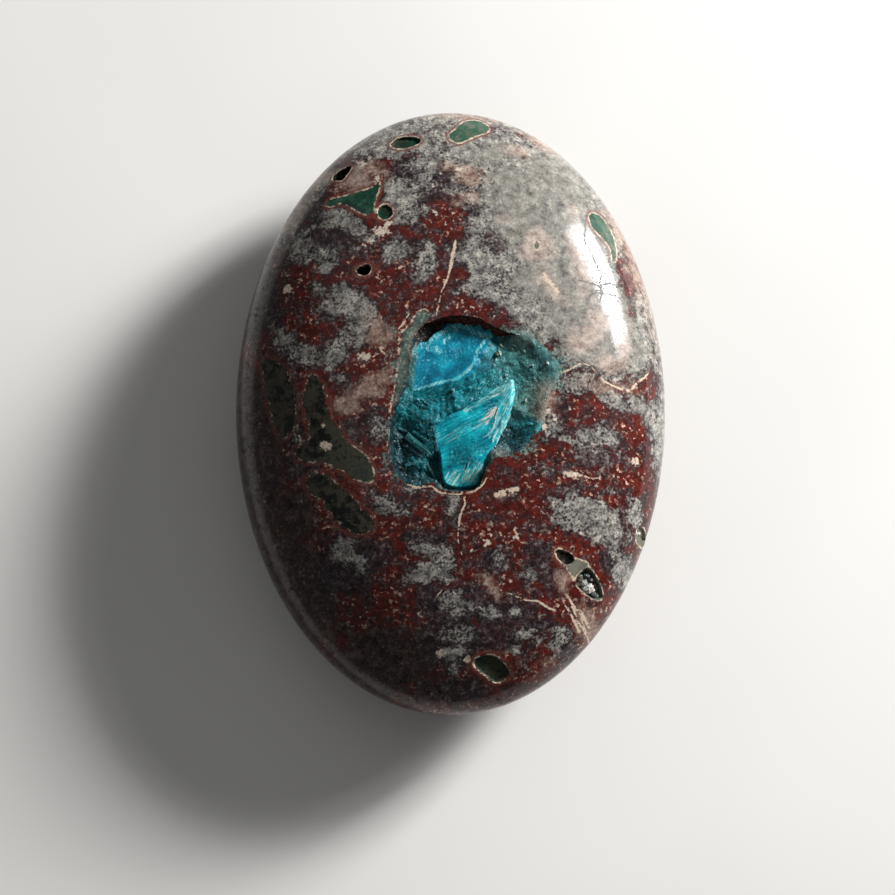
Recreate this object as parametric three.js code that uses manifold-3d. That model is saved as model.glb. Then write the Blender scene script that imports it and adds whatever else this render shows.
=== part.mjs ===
// Cavansite specimen: a polished oval cabochon of amygdaloidal basalt. A pocket in its crown is
// lined with a druse of small crystals and holds two crystals of cavansite.
// Millimetres, +Z up. The origin is the middle of the flat base, +Y runs along the long axis.
import * as THREE from "three";
import { mergeVertices } from "three/addons/utils/BufferGeometryUtils.js";
import Module from "manifold-3d";

const wasm = await Module();
wasm.setup();

// ---------------------------------------------------------------- driving dimensions
const LENGTH = 50;
const WIDTH = 35.1;
const GIRDLE = 6.5; // height of the widest section above the base
const CROWN = 7.5; // rise of the dome above the girdle
const FULLNESS = 2.2; // 2 is an ellipsoid, more is a fuller shoulder
const HEIGHT = GIRDLE + CROWN;
const GAP = 0.3; // clearance between two pieces
const EMBED = 0.2; // how far a cavansite crystal sinks into the druse
const CRUST = 1.0; // thickness of the druse crust, measured upright
const POCKET_DEPTH = 3.2; // dome surface to the druse in the deep part of the pocket
const SHELF_DEPTH = 1.3; // the same on the shallow shelf at the right
const FACET = 0.85; // grid step of the druse's own surface
const BED_CELL = 1.3; // grid step of the surfaces hidden under the crystals
const ROUGHNESS = 0.16; // how far a druse facet's corner stands above or below the rest
const DRUSE_CRYSTALS = 120;
const AROUND = 64; // facets around the stone
const CROWN_RINGS = 10;
const BELLY_RINGS = 5;

// ---------------------------------------------------------------- outlines, seen from above
// Mouth of the pocket in the polished surface.
const POCKET_RIM = [
  [-3.1, 5.2], [-3.8, 4.5], [-4.1, 2.4], [-4.4, 0.0], [-4.7, -2.3], [-4.8, -4.1], [-4.5, -6.0],
  [-3.7, -7.1], [-2.6, -7.4], [-1.4, -7.2], [-0.8, -7.7], [0.5, -7.9], [1.9, -7.7], [2.5, -7.1],
  [2.9, -5.9], [3.6, -5.2], [5.1, -4.9], [6.1, -4.0], [6.9, -2.9], [7.3, -1.7], [7.4, -0.6],
  [8.0, 1.0], [8.4, 2.0], [7.7, 3.3], [6.5, 4.4], [5.4, 4.9], [4.6, 5.1], [3.2, 5.7], [2.1, 6.3],
  [0.5, 6.4], [-0.8, 6.3], [-1.9, 5.7],
];

// Small open cavities of the polished surface: outline and depth.
const PITS = [
  { at: [-3.7, 21.7], size: [1.25, 0.55], depth: 0.8 },
  { at: [-8.9, 19.1], size: [0.85, 0.45], turn: 0.75, depth: 0.9 },
  { at: [-5.3, 15.3], size: [0.65, 0.65], depth: 0.6 },
  { at: [-7.0, 10.4], size: [0.62, 0.42], turn: 0.3, depth: 0.9 },
  { at: [3.3, -21.6], size: [1.5, 0.95], turn: -0.35, depth: 0.7 },
  { at: [9.3, -12.9], size: [1.0, 0.45], turn: -0.6, depth: 1.0 },
  { at: [11.2, -14.7], size: [1.5, 0.7], turn: -0.95, depth: 1.1 },
  { at: [15.4, -10.7], size: [0.5, 0.75], depth: 0.8 },
];

// Upper cavansite crystal, a flat broken slab: top edge x, y, z and the foot of each edge point.
const SLAB = [
  { top: [-3.1, 0.4, 13.1], foot: [-3.2, -0.3] },
  { top: [-2.9, 2.0, 13.0], foot: [-3.1, 2.0] },
  { top: [-2.7, 3.5, 12.8], foot: [-2.9, 3.7] },
  { top: [-1.5, 4.0, 12.8], foot: [-1.7, 4.3] },
  { top: [-0.1, 5.2, 12.6], foot: [-0.3, 5.4] },
  { top: [0.7, 5.5, 12.6], foot: [0.7, 5.7] },
  { top: [2.1, 5.2, 12.8], foot: [2.2, 5.4] },
  { top: [3.2, 5.0, 12.9], foot: [3.7, 4.9] },
  { top: [3.0, 4.2, 13.1], foot: [3.9, 3.7] },
  { top: [2.5, 3.4, 13.3], foot: [3.6, 2.6] },
  { top: [1.9, 2.4, 13.4], foot: [3.1, 1.6] },
  { top: [1.4, 1.7, 13.4], foot: [2.1, 0.8] },
  { top: [0.5, 1.2, 13.4], foot: [0.7, 0.2] },
  { top: [-1.1, 0.8, 13.3], foot: [-1.2, -0.4] },
];
const SLAB_MIDDLE = [0.0, 3.0, 13.0];

// Lower cavansite crystal, a sheaf of blades that widens away from its tip.
const SHEAF = [
  { top: [-1.2, -2.4, 12.9], foot: [-1.4, -2.3] },
  { top: [0.0, -1.5, 13.1], foot: [-0.1, -1.3] },
  { top: [1.9, -0.6, 13.2], foot: [1.8, -0.4] },
  { top: [3.2, 0.1, 13.3], foot: [3.1, 0.4] },
  { top: [4.9, 1.1, 13.5], foot: [5.1, 1.3] },
  { top: [5.1, 0.0, 13.3], foot: [5.5, 0.0] },
  { top: [4.9, -1.3, 13.1], foot: [5.3, -1.4] },
  { top: [4.0, -2.8, 12.9], foot: [4.4, -3.0] },
  { top: [3.2, -4.4, 12.8], foot: [3.5, -4.6] },
  { top: [2.4, -6.0, 12.7], foot: [2.6, -6.1] },
  { top: [2.0, -7.1, 12.5], foot: [2.1, -7.2] },
  { top: [0.6, -7.3, 12.4], foot: [0.6, -7.5] },
  { top: [-0.5, -6.8, 12.5], foot: [-0.6, -6.9] },
  { top: [-0.8, -4.6, 12.7], foot: [-1.0, -4.7] },
  { top: [-1.2, -3.2, 12.8], foot: [-1.4, -3.2] },
];
const SHEAF_MIDDLE = [1.6, -3.0, 13.1];

// Raised blades on the two crystals: ends of the ridge x, y, z, and width.
const SLAB_BLADES = [
  { from: [-3.0, 0.5, 13.15], to: [0.6, 1.3, 13.5], width: 0.5 },
  { from: [0.4, 1.3, 13.45], to: [1.9, 2.5, 13.55], width: 0.5 },
  { from: [1.7, 2.3, 13.5], to: [2.8, 4.6, 13.25], width: 0.55 },
  { from: [-2.4, 3.3, 12.95], to: [0.6, 5.2, 12.9], width: 0.9 },
  { from: [-1.0, 2.6, 13.1], to: [1.6, 4.6, 13.1], width: 0.8 },
];
const SHEAF_BLADES = [
  { from: [-0.9, -2.5, 13.05], to: [4.8, 1.0, 13.65], width: 0.7 },
  { from: [-0.9, -3.3, 13.0], to: [4.3, 0.1, 13.55], width: 0.8 },
  { from: [-0.4, -4.1, 13.0], to: [4.2, -0.8, 13.4], width: 0.8 },
  { from: [0.2, -4.8, 12.95], to: [3.7, -1.8, 13.25], width: 0.8 },
  { from: [3.4, -3.6, 13.05], to: [5.0, 0.3, 13.5], width: 0.55 },
  { from: [2.9, -4.2, 12.95], to: [4.5, -0.6, 13.4], width: 0.5 },
  { from: [0.4, -6.6, 12.75], to: [2.9, -3.6, 13.1], width: 0.9 },
  { from: [-0.3, -6.2, 12.7], to: [0.9, -4.4, 12.95], width: 0.9 },
];

// ---------------------------------------------------------------- small tools
const smooth = (low, high, x) => THREE.MathUtils.smoothstep(x, low, high);

// A repeatable random number between 0 and 1.
function makeRandom(seed) {
  let state = seed;
  return () => {
    state = (state * 1664525 + 1013904223) % 4294967296;
    return state / 4294967296;
  };
}

// A closed mesh from points and triangles, or from a three.js geometry, as a solid.
function solidOf(geometry) {
  const bare = geometry.clone();
  bare.deleteAttribute("normal");
  bare.deleteAttribute("uv");
  const merged = mergeVertices(bare, 1e-4);
  const vertProperties = merged.getAttribute("position").array;
  const triVerts = new Uint32Array(merged.index.array);
  return new wasm.Manifold(new wasm.Mesh({ numProp: 3, vertProperties, triVerts }));
}

function geometryOf(solid) {
  const mesh = solid.getMesh();
  const geometry = new THREE.BufferGeometry();
  geometry.setAttribute("position", new THREE.BufferAttribute(mesh.vertProperties, 3));
  geometry.setIndex(new THREE.BufferAttribute(mesh.triVerts, 1));
  geometry.computeVertexNormals();
  return geometry;
}

// Joins rings of points, from the highest to the lowest, and closes both ends at a middle point.
// Each ring runs counter-clockwise seen from above.
function loft(rings, topMiddle, bottomMiddle) {
  const count = rings[0].length;
  const points = [...rings.flat(), topMiddle, bottomMiddle];
  const top = points.length - 2;
  const bottom = points.length - 1;
  const faces = [];
  for (let i = 0; i < count; i++) {
    const next = (i + 1) % count;
    faces.push(top, i, next);
    for (let ring = 0; ring < rings.length - 1; ring++) {
      const upper = ring * count;
      const lower = upper + count;
      faces.push(upper + i, lower + i, lower + next);
      faces.push(upper + i, lower + next, upper + next);
    }
    const last = (rings.length - 1) * count;
    faces.push(bottom, last + next, last + i);
  }
  const geometry = new THREE.BufferGeometry();
  geometry.setAttribute("position", new THREE.Float32BufferAttribute(points.flat(), 3));
  geometry.setIndex(faces);
  return geometry;
}

// Moves every point of a counter-clockwise outline outwards, or inwards where by is negative.
function offset(outline, by) {
  const count = outline.length;
  return outline.map(([x, y], i) => {
    const [ax, ay] = outline[(i + count - 1) % count];
    const [bx, by2] = outline[(i + 1) % count];
    const run = Math.hypot(bx - ax, by2 - ay);
    return [x + (by * (by2 - ay)) / run, y - (by * (bx - ax)) / run];
  });
}

function prism(outline, low, high) {
  const shape = new THREE.Shape(outline.map(([x, y]) => new THREE.Vector2(x, y)));
  const geometry = new THREE.ExtrudeGeometry(shape, { depth: high - low, bevelEnabled: false });
  return solidOf(geometry.translate(0, 0, low));
}

// ---------------------------------------------------------------- surfaces
// Height of the polished dome above the base.
function dome(x, y) {
  const reach = Math.hypot((2 * x) / WIDTH, (2 * y) / LENGTH);
  return GIRDLE + CROWN * Math.sqrt(Math.max(0, 1 - reach ** FULLNESS));
}

function domeNormal(x, y) {
  const step = 0.01;
  const slopeX = (dome(x + step, y) - dome(x - step, y)) / (2 * step);
  const slopeY = (dome(x, y + step) - dome(x, y - step)) / (2 * step);
  return new THREE.Vector3(-slopeX, -slopeY, 1).normalize();
}

// Distance to a closed outline: positive inside it.
function outlineDistance(outline, x, y) {
  let nearest = Infinity;
  let inside = false;
  outline.forEach(([ax, ay], i) => {
    const [bx, by] = outline[(i + 1) % outline.length];
    const along = ((x - ax) * (bx - ax) + (y - ay) * (by - ay)) / ((bx - ax) ** 2 + (by - ay) ** 2);
    const t = THREE.MathUtils.clamp(along, 0, 1);
    nearest = Math.min(nearest, Math.hypot(x - ax - t * (bx - ax), y - ay - t * (by - ay)));
    if (ay > y !== by > y && x < ax + ((y - ay) * (bx - ax)) / (by - ay)) inside = !inside;
  });
  return inside ? nearest : -nearest;
}

// Depth of the druse below the dome. A polished band stands flush along the left rim, the wall at
// the top is bare rock, and a shallow shelf runs along the right.
function druseDepth(x, y) {
  const distance = outlineDistance(POCKET_RIM, x, y);
  const shelf = smooth(4.6, 6.6, x - 0.2 * y);
  const floor = POCKET_DEPTH + (SHELF_DEPTH - POCKET_DEPTH) * shelf;
  const band = smooth(-1.8, -3.0, x) * smooth(-3.6, -2.0, y);
  const bareWall = smooth(4.2, 5.2, y) * smooth(4.6, 3.2, x);
  const edge = 0.45 * (1 - band) + 1.5 * bareWall;
  return edge + (floor - edge) * smooth(0.75 * band, 1.5 + 0.3 * band, distance);
}

const druse = (x, y) => dome(x, y) - druseDepth(x, y);

// A gap measured square to the sloping druse, given upright.
function uprightGap(x, y) {
  const step = 0.2;
  const slopeX = (druse(x + step, y) - druse(x - step, y)) / (2 * step);
  const slopeY = (druse(x, y + step) - druse(x, y - step)) / (2 * step);
  return GAP * Math.min(Math.hypot(1, slopeX, slopeY), 2.2);
}

// Everything under a height function, over the pocket's rectangle.
const FIELD_FLOOR = 5;
function under(height, cell = BED_CELL) {
  const xs = [-5.6, 9.2];
  const ys = [-8.7, 7.2];
  const columns = Math.round((xs[1] - xs[0]) / cell);
  const rows = Math.round((ys[1] - ys[0]) / cell);
  const points = [];
  for (const level of ["top", "bottom"]) {
    for (let row = 0; row <= rows; row++) {
      for (let column = 0; column <= columns; column++) {
        const x = THREE.MathUtils.lerp(...xs, column / columns);
        const y = THREE.MathUtils.lerp(...ys, row / rows);
        points.push(x, y, level === "top" ? height(x, y) : FIELD_FLOOR);
      }
    }
  }
  const layer = (rows + 1) * (columns + 1);
  const at = (row, column) => row * (columns + 1) + column;
  const faces = [];
  for (let row = 0; row < rows; row++) {
    for (let column = 0; column < columns; column++) {
      const [a, b] = [at(row, column), at(row, column + 1)];
      const [c, d] = [at(row + 1, column), at(row + 1, column + 1)];
      const split = (row + column) % 2 === 0 ? [a, b, d, a, d, c] : [a, b, c, b, d, c];
      faces.push(...split);
      faces.push(...split.map((index) => index + layer).reverse());
    }
  }
  const wall = (from, to) => faces.push(from, from + layer, to + layer, from, to + layer, to);
  for (let column = 0; column < columns; column++) {
    wall(at(0, column), at(0, column + 1));
    wall(at(rows, column + 1), at(rows, column));
  }
  for (let row = 0; row < rows; row++) {
    wall(at(row + 1, 0), at(row, 0));
    wall(at(row, columns), at(row + 1, columns));
  }
  const geometry = new THREE.BufferGeometry();
  geometry.setAttribute("position", new THREE.Float32BufferAttribute(points, 3));
  geometry.setIndex(faces);
  return solidOf(geometry);
}

// ---------------------------------------------------------------- stone
// The uncut pebble: a dome, a rounded girdle, and a belly that ends in the flat base.
function pebble() {
  const baseAngle = Math.acos(GIRDLE / CROWN);
  const ring = (reach, z) =>
    Array.from({ length: AROUND }, (_, i) => {
      const angle = (2 * Math.PI * i) / AROUND;
      return [(WIDTH / 2) * reach * Math.cos(angle), (LENGTH / 2) * reach * Math.sin(angle), z];
    });
  const rings = [];
  for (let i = 1; i <= CROWN_RINGS; i++) {
    const angle = (Math.PI / 2) * (i / CROWN_RINGS);
    rings.push(ring(Math.sin(angle) ** (2 / FULLNESS), GIRDLE + CROWN * Math.cos(angle)));
  }
  for (let i = 1; i <= BELLY_RINGS; i++) {
    const angle = THREE.MathUtils.lerp(Math.PI / 2, baseAngle, i / BELLY_RINGS);
    rings.push(ring(Math.sin(angle) ** (2 / FULLNESS), GIRDLE - CROWN * Math.cos(angle)));
  }
  rings.at(-1).forEach((point) => (point[2] = 0));
  return solidOf(loft(rings, [0, 0, HEIGHT], [0, 0, 0]));
}

// A small bowl-shaped cavity, sunk along the dome's normal.
const PIT_SIDES = 10;
function pit({ at, size, turn = 0, depth }) {
  const normal = domeNormal(...at);
  const middle = new THREE.Vector3(at[0], at[1], dome(...at));
  const sideways = new THREE.Vector3(Math.cos(turn), Math.sin(turn), 0);
  sideways.addScaledVector(normal, -sideways.dot(normal)).normalize();
  const lengthways = new THREE.Vector3().crossVectors(normal, sideways);
  const point = (across, along, out) =>
    middle
      .clone()
      .addScaledVector(sideways, across)
      .addScaledVector(lengthways, along)
      .addScaledVector(normal, out)
      .toArray();
  const ring = (scale, out) =>
    Array.from({ length: PIT_SIDES }, (_, i) => {
      const angle = (2 * Math.PI * i) / PIT_SIDES;
      return point(size[0] * scale * Math.cos(angle), size[1] * scale * Math.sin(angle), out);
    });
  const rings = [ring(1.15, 0.6), ring(0.95, -0.35 * depth), ring(0.6, -0.85 * depth)];
  return solidOf(loft(rings, point(0, 0, 0.6), point(0, 0, -depth)));
}

function stoneSolid() {
  const pocketFloor = (x, y) => druse(x, y) - CRUST - uprightGap(x, y);
  const pocket = prism(POCKET_RIM, FIELD_FLOOR + 1, HEIGHT + 1).subtract(under(pocketFloor));
  return PITS.reduce((stone, one) => stone.subtract(pit(one)), pebble().subtract(pocket));
}

// ---------------------------------------------------------------- cavansite
// A raised blade: a bar with a ridged top, standing in the crystal that carries it.
function blade({ from, to, width }) {
  const start = new THREE.Vector2(from[0], from[1]);
  const end = new THREE.Vector2(to[0], to[1]);
  const across = end.clone().sub(start).normalize().rotateAround(new THREE.Vector2(), Math.PI / 2);
  across.multiplyScalar(width / 2);
  const root = 0.9; // how deep the blade stands
  const shoulder = 0.16; // ridge to shoulder
  const lean = 0.12; // the foot is wider than the shoulder
  const section = (at, z) => [
    [at.x, at.y, z],
    [at.x + across.x, at.y + across.y, z - shoulder],
    [at.x + across.x * (1 + lean), at.y + across.y * (1 + lean), z - root],
    [at.x - across.x * (1 + lean), at.y - across.y * (1 + lean), z - root],
    [at.x - across.x, at.y - across.y, z - shoulder],
  ];
  const near = section(start, from[2]);
  const far = section(end, to[2]);
  const faces = [0, 1, 4, 1, 3, 4, 1, 2, 3, 5, 9, 6, 6, 9, 8, 6, 8, 7];
  for (let i = 0; i < 5; i++) {
    const next = (i + 1) % 5;
    faces.push(i, i + 5, next, next, i + 5, next + 5);
  }
  const geometry = new THREE.BufferGeometry();
  const positions = new THREE.Float32BufferAttribute([...near, ...far].flat(), 3);
  geometry.setAttribute("position", positions);
  geometry.setIndex(faces);
  return solidOf(geometry);
}

// The part of a crystal above the druse, or, where spread is given, the room that it needs.
function crystalSolid(edge, middle, blades, spread = 0) {
  const order = edge.slice().reverse();
  const feet = offset(order.map(({ foot }) => foot), spread);
  const tops = offset(order.map(({ top }) => [top[0], top[1]]), spread);
  const rings = [
    tops.map(([x, y], i) => [x, y, order[i].top[2] + spread]),
    feet.map(([x, y]) => [x, y, dome(x, y) - POCKET_DEPTH + 0.7]),
    feet.map(([x, y]) => [x, y, FIELD_FLOOR + 1]),
  ];
  const high = [middle[0], middle[1], middle[2] + spread];
  const low = [middle[0], middle[1], FIELD_FLOOR + 1];
  const body = solidOf(loft(rings, high, low));
  const bladed = blades.reduce((crystal, one) => crystal.add(blade(one)), body);
  const seat = (x, y) => druse(x, y) - EMBED - (spread > 0 ? uprightGap(x, y) : 0);
  return bladed.subtract(under(seat));
}

// ---------------------------------------------------------------- druse crust
// One four-sided crystal point, rooted in the crust and leaning at random.
function druseCrystal(x, y, random) {
  const radius = 0.36 + 0.34 * random();
  const height = radius * (2.2 + 1.0 * random());
  const geometry = new THREE.ConeGeometry(radius, height, 4, 1);
  geometry.translate(0, height * 0.25, 0);
  geometry.rotateY(Math.PI * random());
  geometry.rotateX(Math.PI / 2 + 1.3 * (random() - 0.5));
  geometry.rotateZ(2 * Math.PI * random());
  return solidOf(geometry.translate(x, y, druse(x, y)));
}

function crustSolid() {
  const random = makeRandom(7);
  const inner = prism(offset(POCKET_RIM, -GAP), FIELD_FLOOR + 1, HEIGHT + 1);
  const facets = (x, y) => druse(x, y) - ROUGHNESS * random() * smooth(0.4, 1, druseDepth(x, y));
  let crust = under(facets, FACET);
  const feet = [SLAB, SHEAF].map((edge) => edge.map(({ foot }) => foot));
  let placed = 0;
  while (placed < DRUSE_CRYSTALS) {
    const x = -4.5 + 12.8 * random();
    const y = -7.6 + 13.6 * random();
    const covered = feet.some((outline) => outlineDistance(outline, x, y) > 0);
    const flush = druseDepth(x, y) < 0.6;
    if (covered || flush || outlineDistance(POCKET_RIM, x, y) < GAP + 0.65) continue;
    crust = crust.add(druseCrystal(x, y, random));
    placed += 1;
  }
  const room = crystalSolid(SLAB, SLAB_MIDDLE, [], GAP);
  const secondRoom = crystalSolid(SHEAF, SHEAF_MIDDLE, [], GAP);
  const bed = under((x, y) => druse(x, y) - CRUST);
  const trimmed = crust.intersect(inner).intersect(pebble()).subtract(bed);
  const whole = trimmed.subtract(room).subtract(secondRoom);
  const [largest] = whole.decompose().sort((a, b) => b.volume() - a.volume());
  return largest; // without the crystal tips that the two rooms cut loose
}

// ---------------------------------------------------------------- the specimen
const MATERIALS = {
  stone: new THREE.MeshStandardMaterial({ color: 0x7a5c54, roughness: 0.25 }),
  druse: new THREE.MeshStandardMaterial({ color: 0x2f7274, roughness: 0.3 }),
  cavansite: new THREE.MeshStandardMaterial({ color: 0x1497b8, roughness: 0.4 }),
};

function piece(name, solid, material) {
  const mesh = new THREE.Mesh(geometryOf(solid), material.clone());
  mesh.name = name;
  return mesh;
}

const specimen = new THREE.Group();
specimen.add(piece("stone", stoneSolid(), MATERIALS.stone));
specimen.add(piece("druse_crust", crustSolid(), MATERIALS.druse));
const slab = crystalSolid(SLAB, SLAB_MIDDLE, SLAB_BLADES);
specimen.add(piece("cavansite_upper", slab, MATERIALS.cavansite));
const sheaf = crystalSolid(SHEAF, SHEAF_MIDDLE, SHEAF_BLADES);
specimen.add(piece("cavansite_lower", sheaf, MATERIALS.cavansite));

export default specimen;
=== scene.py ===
"""The looks of the cavansite specimen: a polished basalt cabochon with a crystal pocket.

Shapes are worked out in millimetres, in the frame of the CAD part, and turned into metres where a
mesh is made. +Y runs along the stone's long axis and +Z out of its crown. Tints are written as
0 to 255 screen values, where no comment says otherwise.
"""

import math
import random

import bmesh
import bpy
import numpy as np
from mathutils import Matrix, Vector, noise
from mathutils.geometry import delaunay_2d_cdt


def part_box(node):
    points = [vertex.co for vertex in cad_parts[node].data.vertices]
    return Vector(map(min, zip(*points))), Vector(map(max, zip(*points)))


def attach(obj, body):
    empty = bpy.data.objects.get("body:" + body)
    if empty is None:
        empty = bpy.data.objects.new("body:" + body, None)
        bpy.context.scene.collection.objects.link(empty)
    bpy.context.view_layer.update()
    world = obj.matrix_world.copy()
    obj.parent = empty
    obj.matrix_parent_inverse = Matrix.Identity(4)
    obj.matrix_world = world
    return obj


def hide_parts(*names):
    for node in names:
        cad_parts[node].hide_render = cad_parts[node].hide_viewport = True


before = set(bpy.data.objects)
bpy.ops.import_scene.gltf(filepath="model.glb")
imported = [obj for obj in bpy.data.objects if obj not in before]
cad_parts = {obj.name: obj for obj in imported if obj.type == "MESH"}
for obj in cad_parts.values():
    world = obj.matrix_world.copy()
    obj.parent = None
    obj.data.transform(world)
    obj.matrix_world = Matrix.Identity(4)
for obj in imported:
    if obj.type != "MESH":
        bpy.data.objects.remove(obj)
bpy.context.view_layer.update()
MM = 0.001

# ------------------------------------------------------------------ driving sizes, millimetres
STONE_LOW, STONE_HIGH = (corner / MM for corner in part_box("stone"))
HALF_WIDTH = (STONE_HIGH.x - STONE_LOW.x) / 2
HALF_LENGTH = (STONE_HIGH.y - STONE_LOW.y) / 2
GIRDLE = 6.5  # height of the widest section
CROWN = 7.5  # rise of the dome above the girdle
FULLNESS = 2.2  # 2 is an ellipsoid, more is a fuller shoulder

# The pocket, the pits and the ground flat.
MOUTH_WOBBLE = 0.09  # raggedness of the pocket's mouth
LIP_SINK = 0.075  # how far the polish is worn down at the mouth
LIP_WIDTH = 1.6
WALL_DEPTH = 3.9  # how far the pocket's wall goes down behind the druse
WALL_RINGS = (0.06, 0.2, 0.4, 0.7, 1.0, 1.4, 1.9, 2.5, 3.2, WALL_DEPTH)  # their depths
WALL_BOTTOM = (1.2, -0.8, GIRDLE + CROWN - WALL_DEPTH)
PIT_WOBBLE = 0.03
PIT_RINGS = (0.12, 0.35, 0.6, 0.8, 0.93, 1.0)  # shares of a pit's depth
GROUND_RINGS = (0.97, 0.8, 0.5, 0.2)  # shares of the ground flat's outline

# How fine the stone's mesh is.
STONE_SPACING = 0.27  # grid of the polished surface
GIRDLE_MARGIN = 0.6  # grid steps that the grid keeps from the girdle
HOLE_MARGIN = 0.35  # and from the pocket and the pits
GIRDLE_POINTS = 520
BELLY_RINGS = 26
STONE_MOUTH_STEP = 0.13  # spacing of the points round the pocket's mouth
PIT_STEP = 0.1  # round a pit
MARKING_STEP = 0.3  # and round outlines that only the material reads
STONE_CREASE = 38  # degrees
PATCH_REACH = 1.2  # how far from its edge a patch of the mottling is felt

# The druse and the crystals on it.
CRUST_SPACING = 0.075  # grid of the druse and of the cavansite
CRUST_TUCK = 0.3  # how far the druse goes on behind the pocket's wall
DRUSE_MOUTH_STEP = 0.16
DRUSE_POINTS = 8200
DRUSE_FLOOR = 9.6  # height of the druse's hidden underside
DRUSE_BOTTOM = (1.0, -0.8, DRUSE_FLOOR)
DRUSE_DIP = 0.9  # how much lower the druse lies under the cavansite
DRUSE_BRIGHTNESS = 1.2
DRUSE_CRYSTALS = 70
SPOTS_TRIED = 16000  # for the crystals, inside the next two ranges
POCKET_X = (-5.0, 8.6)
POCKET_Y = (-8.0, 6.6)
FOOT_OVERLAP = 0.3  # how far crystals may stand inside the cavansite's feet
PALE_SHARE = 0.03  # share of the crystals that are pale
POLISH_GAP = 0.04  # how far below the polish the crust stays
CRYSTAL_GAP = 0.08  # the same for the crystals on it

# Seeds of the random draws.
RELIEF_SEED = 17
CRYSTAL_SEED = 11
BLADE_SEED = 29
VUG_SEED = 3

# Distances that stand for a place with no vein or no cavity near it.
NO_VEIN = 99.0
NO_CAVITY = -9.0

CREAM = (196, 176, 156)
PALE_CRYSTAL = np.array([0.5, 0.62, 0.6])  # linear light

# ------------------------------------------------------------------ outlines, seen from above
# Mouth of the open pocket in the polish.
POCKET_MOUTH = [
    (-2.2, 5.6), (-2.9, 4.6), (-3.3, 2.6), (-3.7, 0.6), (-4.3, -0.7), (-4.8, -2.5), (-4.9, -4.1),
    (-4.5, -6), (-3.7, -7.1), (-2.6, -7.4), (-1.4, -7.2), (-0.8, -7.7), (0.5, -7.9), (1.9, -7.7),
    (2.5, -7.1), (2.9, -5.9), (3.6, -5.2), (5.1, -4.9), (6.1, -4), (6.9, -2.9), (7.3, -1.7),
    (7.4, -0.6), (8, 1), (8.4, 2), (7.7, 3.3), (6.5, 4.4), (5.4, 4.9), (4.6, 5.1), (3.2, 5.7),
    (2.1, 6.3), (0.5, 6.4), (-0.8, 6.2),
]
# Translucent band of chalcedony, polished flush, along the pocket's left rim.
BAND = [
    POCKET_MOUTH[0], (-1.6, 6.2), (-1.9, 6.8), (-2.6, 6.7), (-3.2, 5.6), (-3.9, 5), (-4.1, 3.6),
    (-4.2, 2), (-4.4, 0.6), (-4.7, -0.8), (-4.8, -1.9), *POCKET_MOUTH[4:0:-1],
]

# Filled cavities, flush with the polish: tone and outline. Tone 0 is black, 0.25 dark olive,
# 0.6 dark green, 1 bright green and 1.4 grey. A pair of tones runs from left to right.
AMYGDULES = [
    (1, [
        (-0.1, 22), (0, 22.5), (0.45, 22.9), (0.95, 23.6), (1.6, 23.9), (2.4, 23.85), (3.1, 23.3),
        (3.2, 22.9), (2.75, 22.5), (2, 22.2), (1.35, 21.8), (0.6, 21.5),
    ]),
    ((0.86, 0.66), [
        (-10.2, 16.3), (-9.8, 16.85), (-8.6, 17), (-7.4, 17.3), (-6.4, 17.6), (-5.8, 18.15),
        (-5.7, 17.75), (-6, 16.85), (-6.2, 16), (-6.3, 15.3), (-6.9, 15.2), (-7.8, 15.7), (-8.35, 16.1),
        (-9, 16.4), (-9.8, 16.1),
    ]),
    ((0.84, 1.12), [
        (11.3, 15.4), (11.55, 15.8), (12.2, 15.7), (12.8, 15), (13.25, 14.1), (13.45, 13.3),
        (13.55, 12.5), (13.5, 11.7), (13.2, 11.6), (13.1, 12.4), (12.85, 13.1), (12.2, 13.8),
        (11.5, 14.6),
    ]),
    ((1.5, 1.25), [
        (9.2, -13.5), (9.6, -13.4), (9.95, -13), (10.5, -13.1), (11.1, -13.3), (10.9, -13.7),
        (10.4, -13.95), (10.05, -14.5), (10, -14.8), (9.65, -14.2),
    ]),
    (1.25, [
        (6.92, 12), (6.76, 12.5), (6.95, 12.95), (7.2, 12.7), (7.22, 12.25),
    ]),
    ((0.15, 0.4), [
        (-11.6, 1.3), (-11.75, 0.3), (-11.8, -0.5), (-11.55, -1.6), (-11.2, -2.9), (-11.5, -3.6),
        (-12.3, -4), (-12.5, -4.6), (-11.8, -5.1), (-10.35, -5.3), (-9.2, -5.8), (-8, -6.6), (-7, -7),
        (-6.2, -7), (-6.2, -6.1), (-6.8, -4.9), (-7.9, -4.1), (-8.6, -3.3), (-9.1, -2.6), (-9.8, -1.4),
        (-9.95, -0.1), (-10.3, 1), (-10.9, 1.8),
    ]),
    ((0.26, 0.17), [
        (-15.3, 3.2), (-14.9, 1), (-14.6, -0.8), (-14.1, -2.2), (-13.4, -3.1), (-12.8, -2.6),
        (-12.4, -1.2), (-12.6, 0.6), (-13.2, 2.2), (-14.2, 3.4),
    ]),
    ((0.24, 0.16), [
        (-11.6, -6.6), (-11.2, -7.6), (-10.5, -8.2), (-10, -8.8), (-9.5, -9.8), (-8.4, -10.8),
        (-7.5, -11.3), (-6.7, -11.2), (-6.1, -10.5), (-6.2, -10), (-7.2, -8.9), (-8.3, -7.8),
        (-9, -7.2), (-9.8, -6.5), (-10.8, -6.2),
    ]),
]
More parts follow.
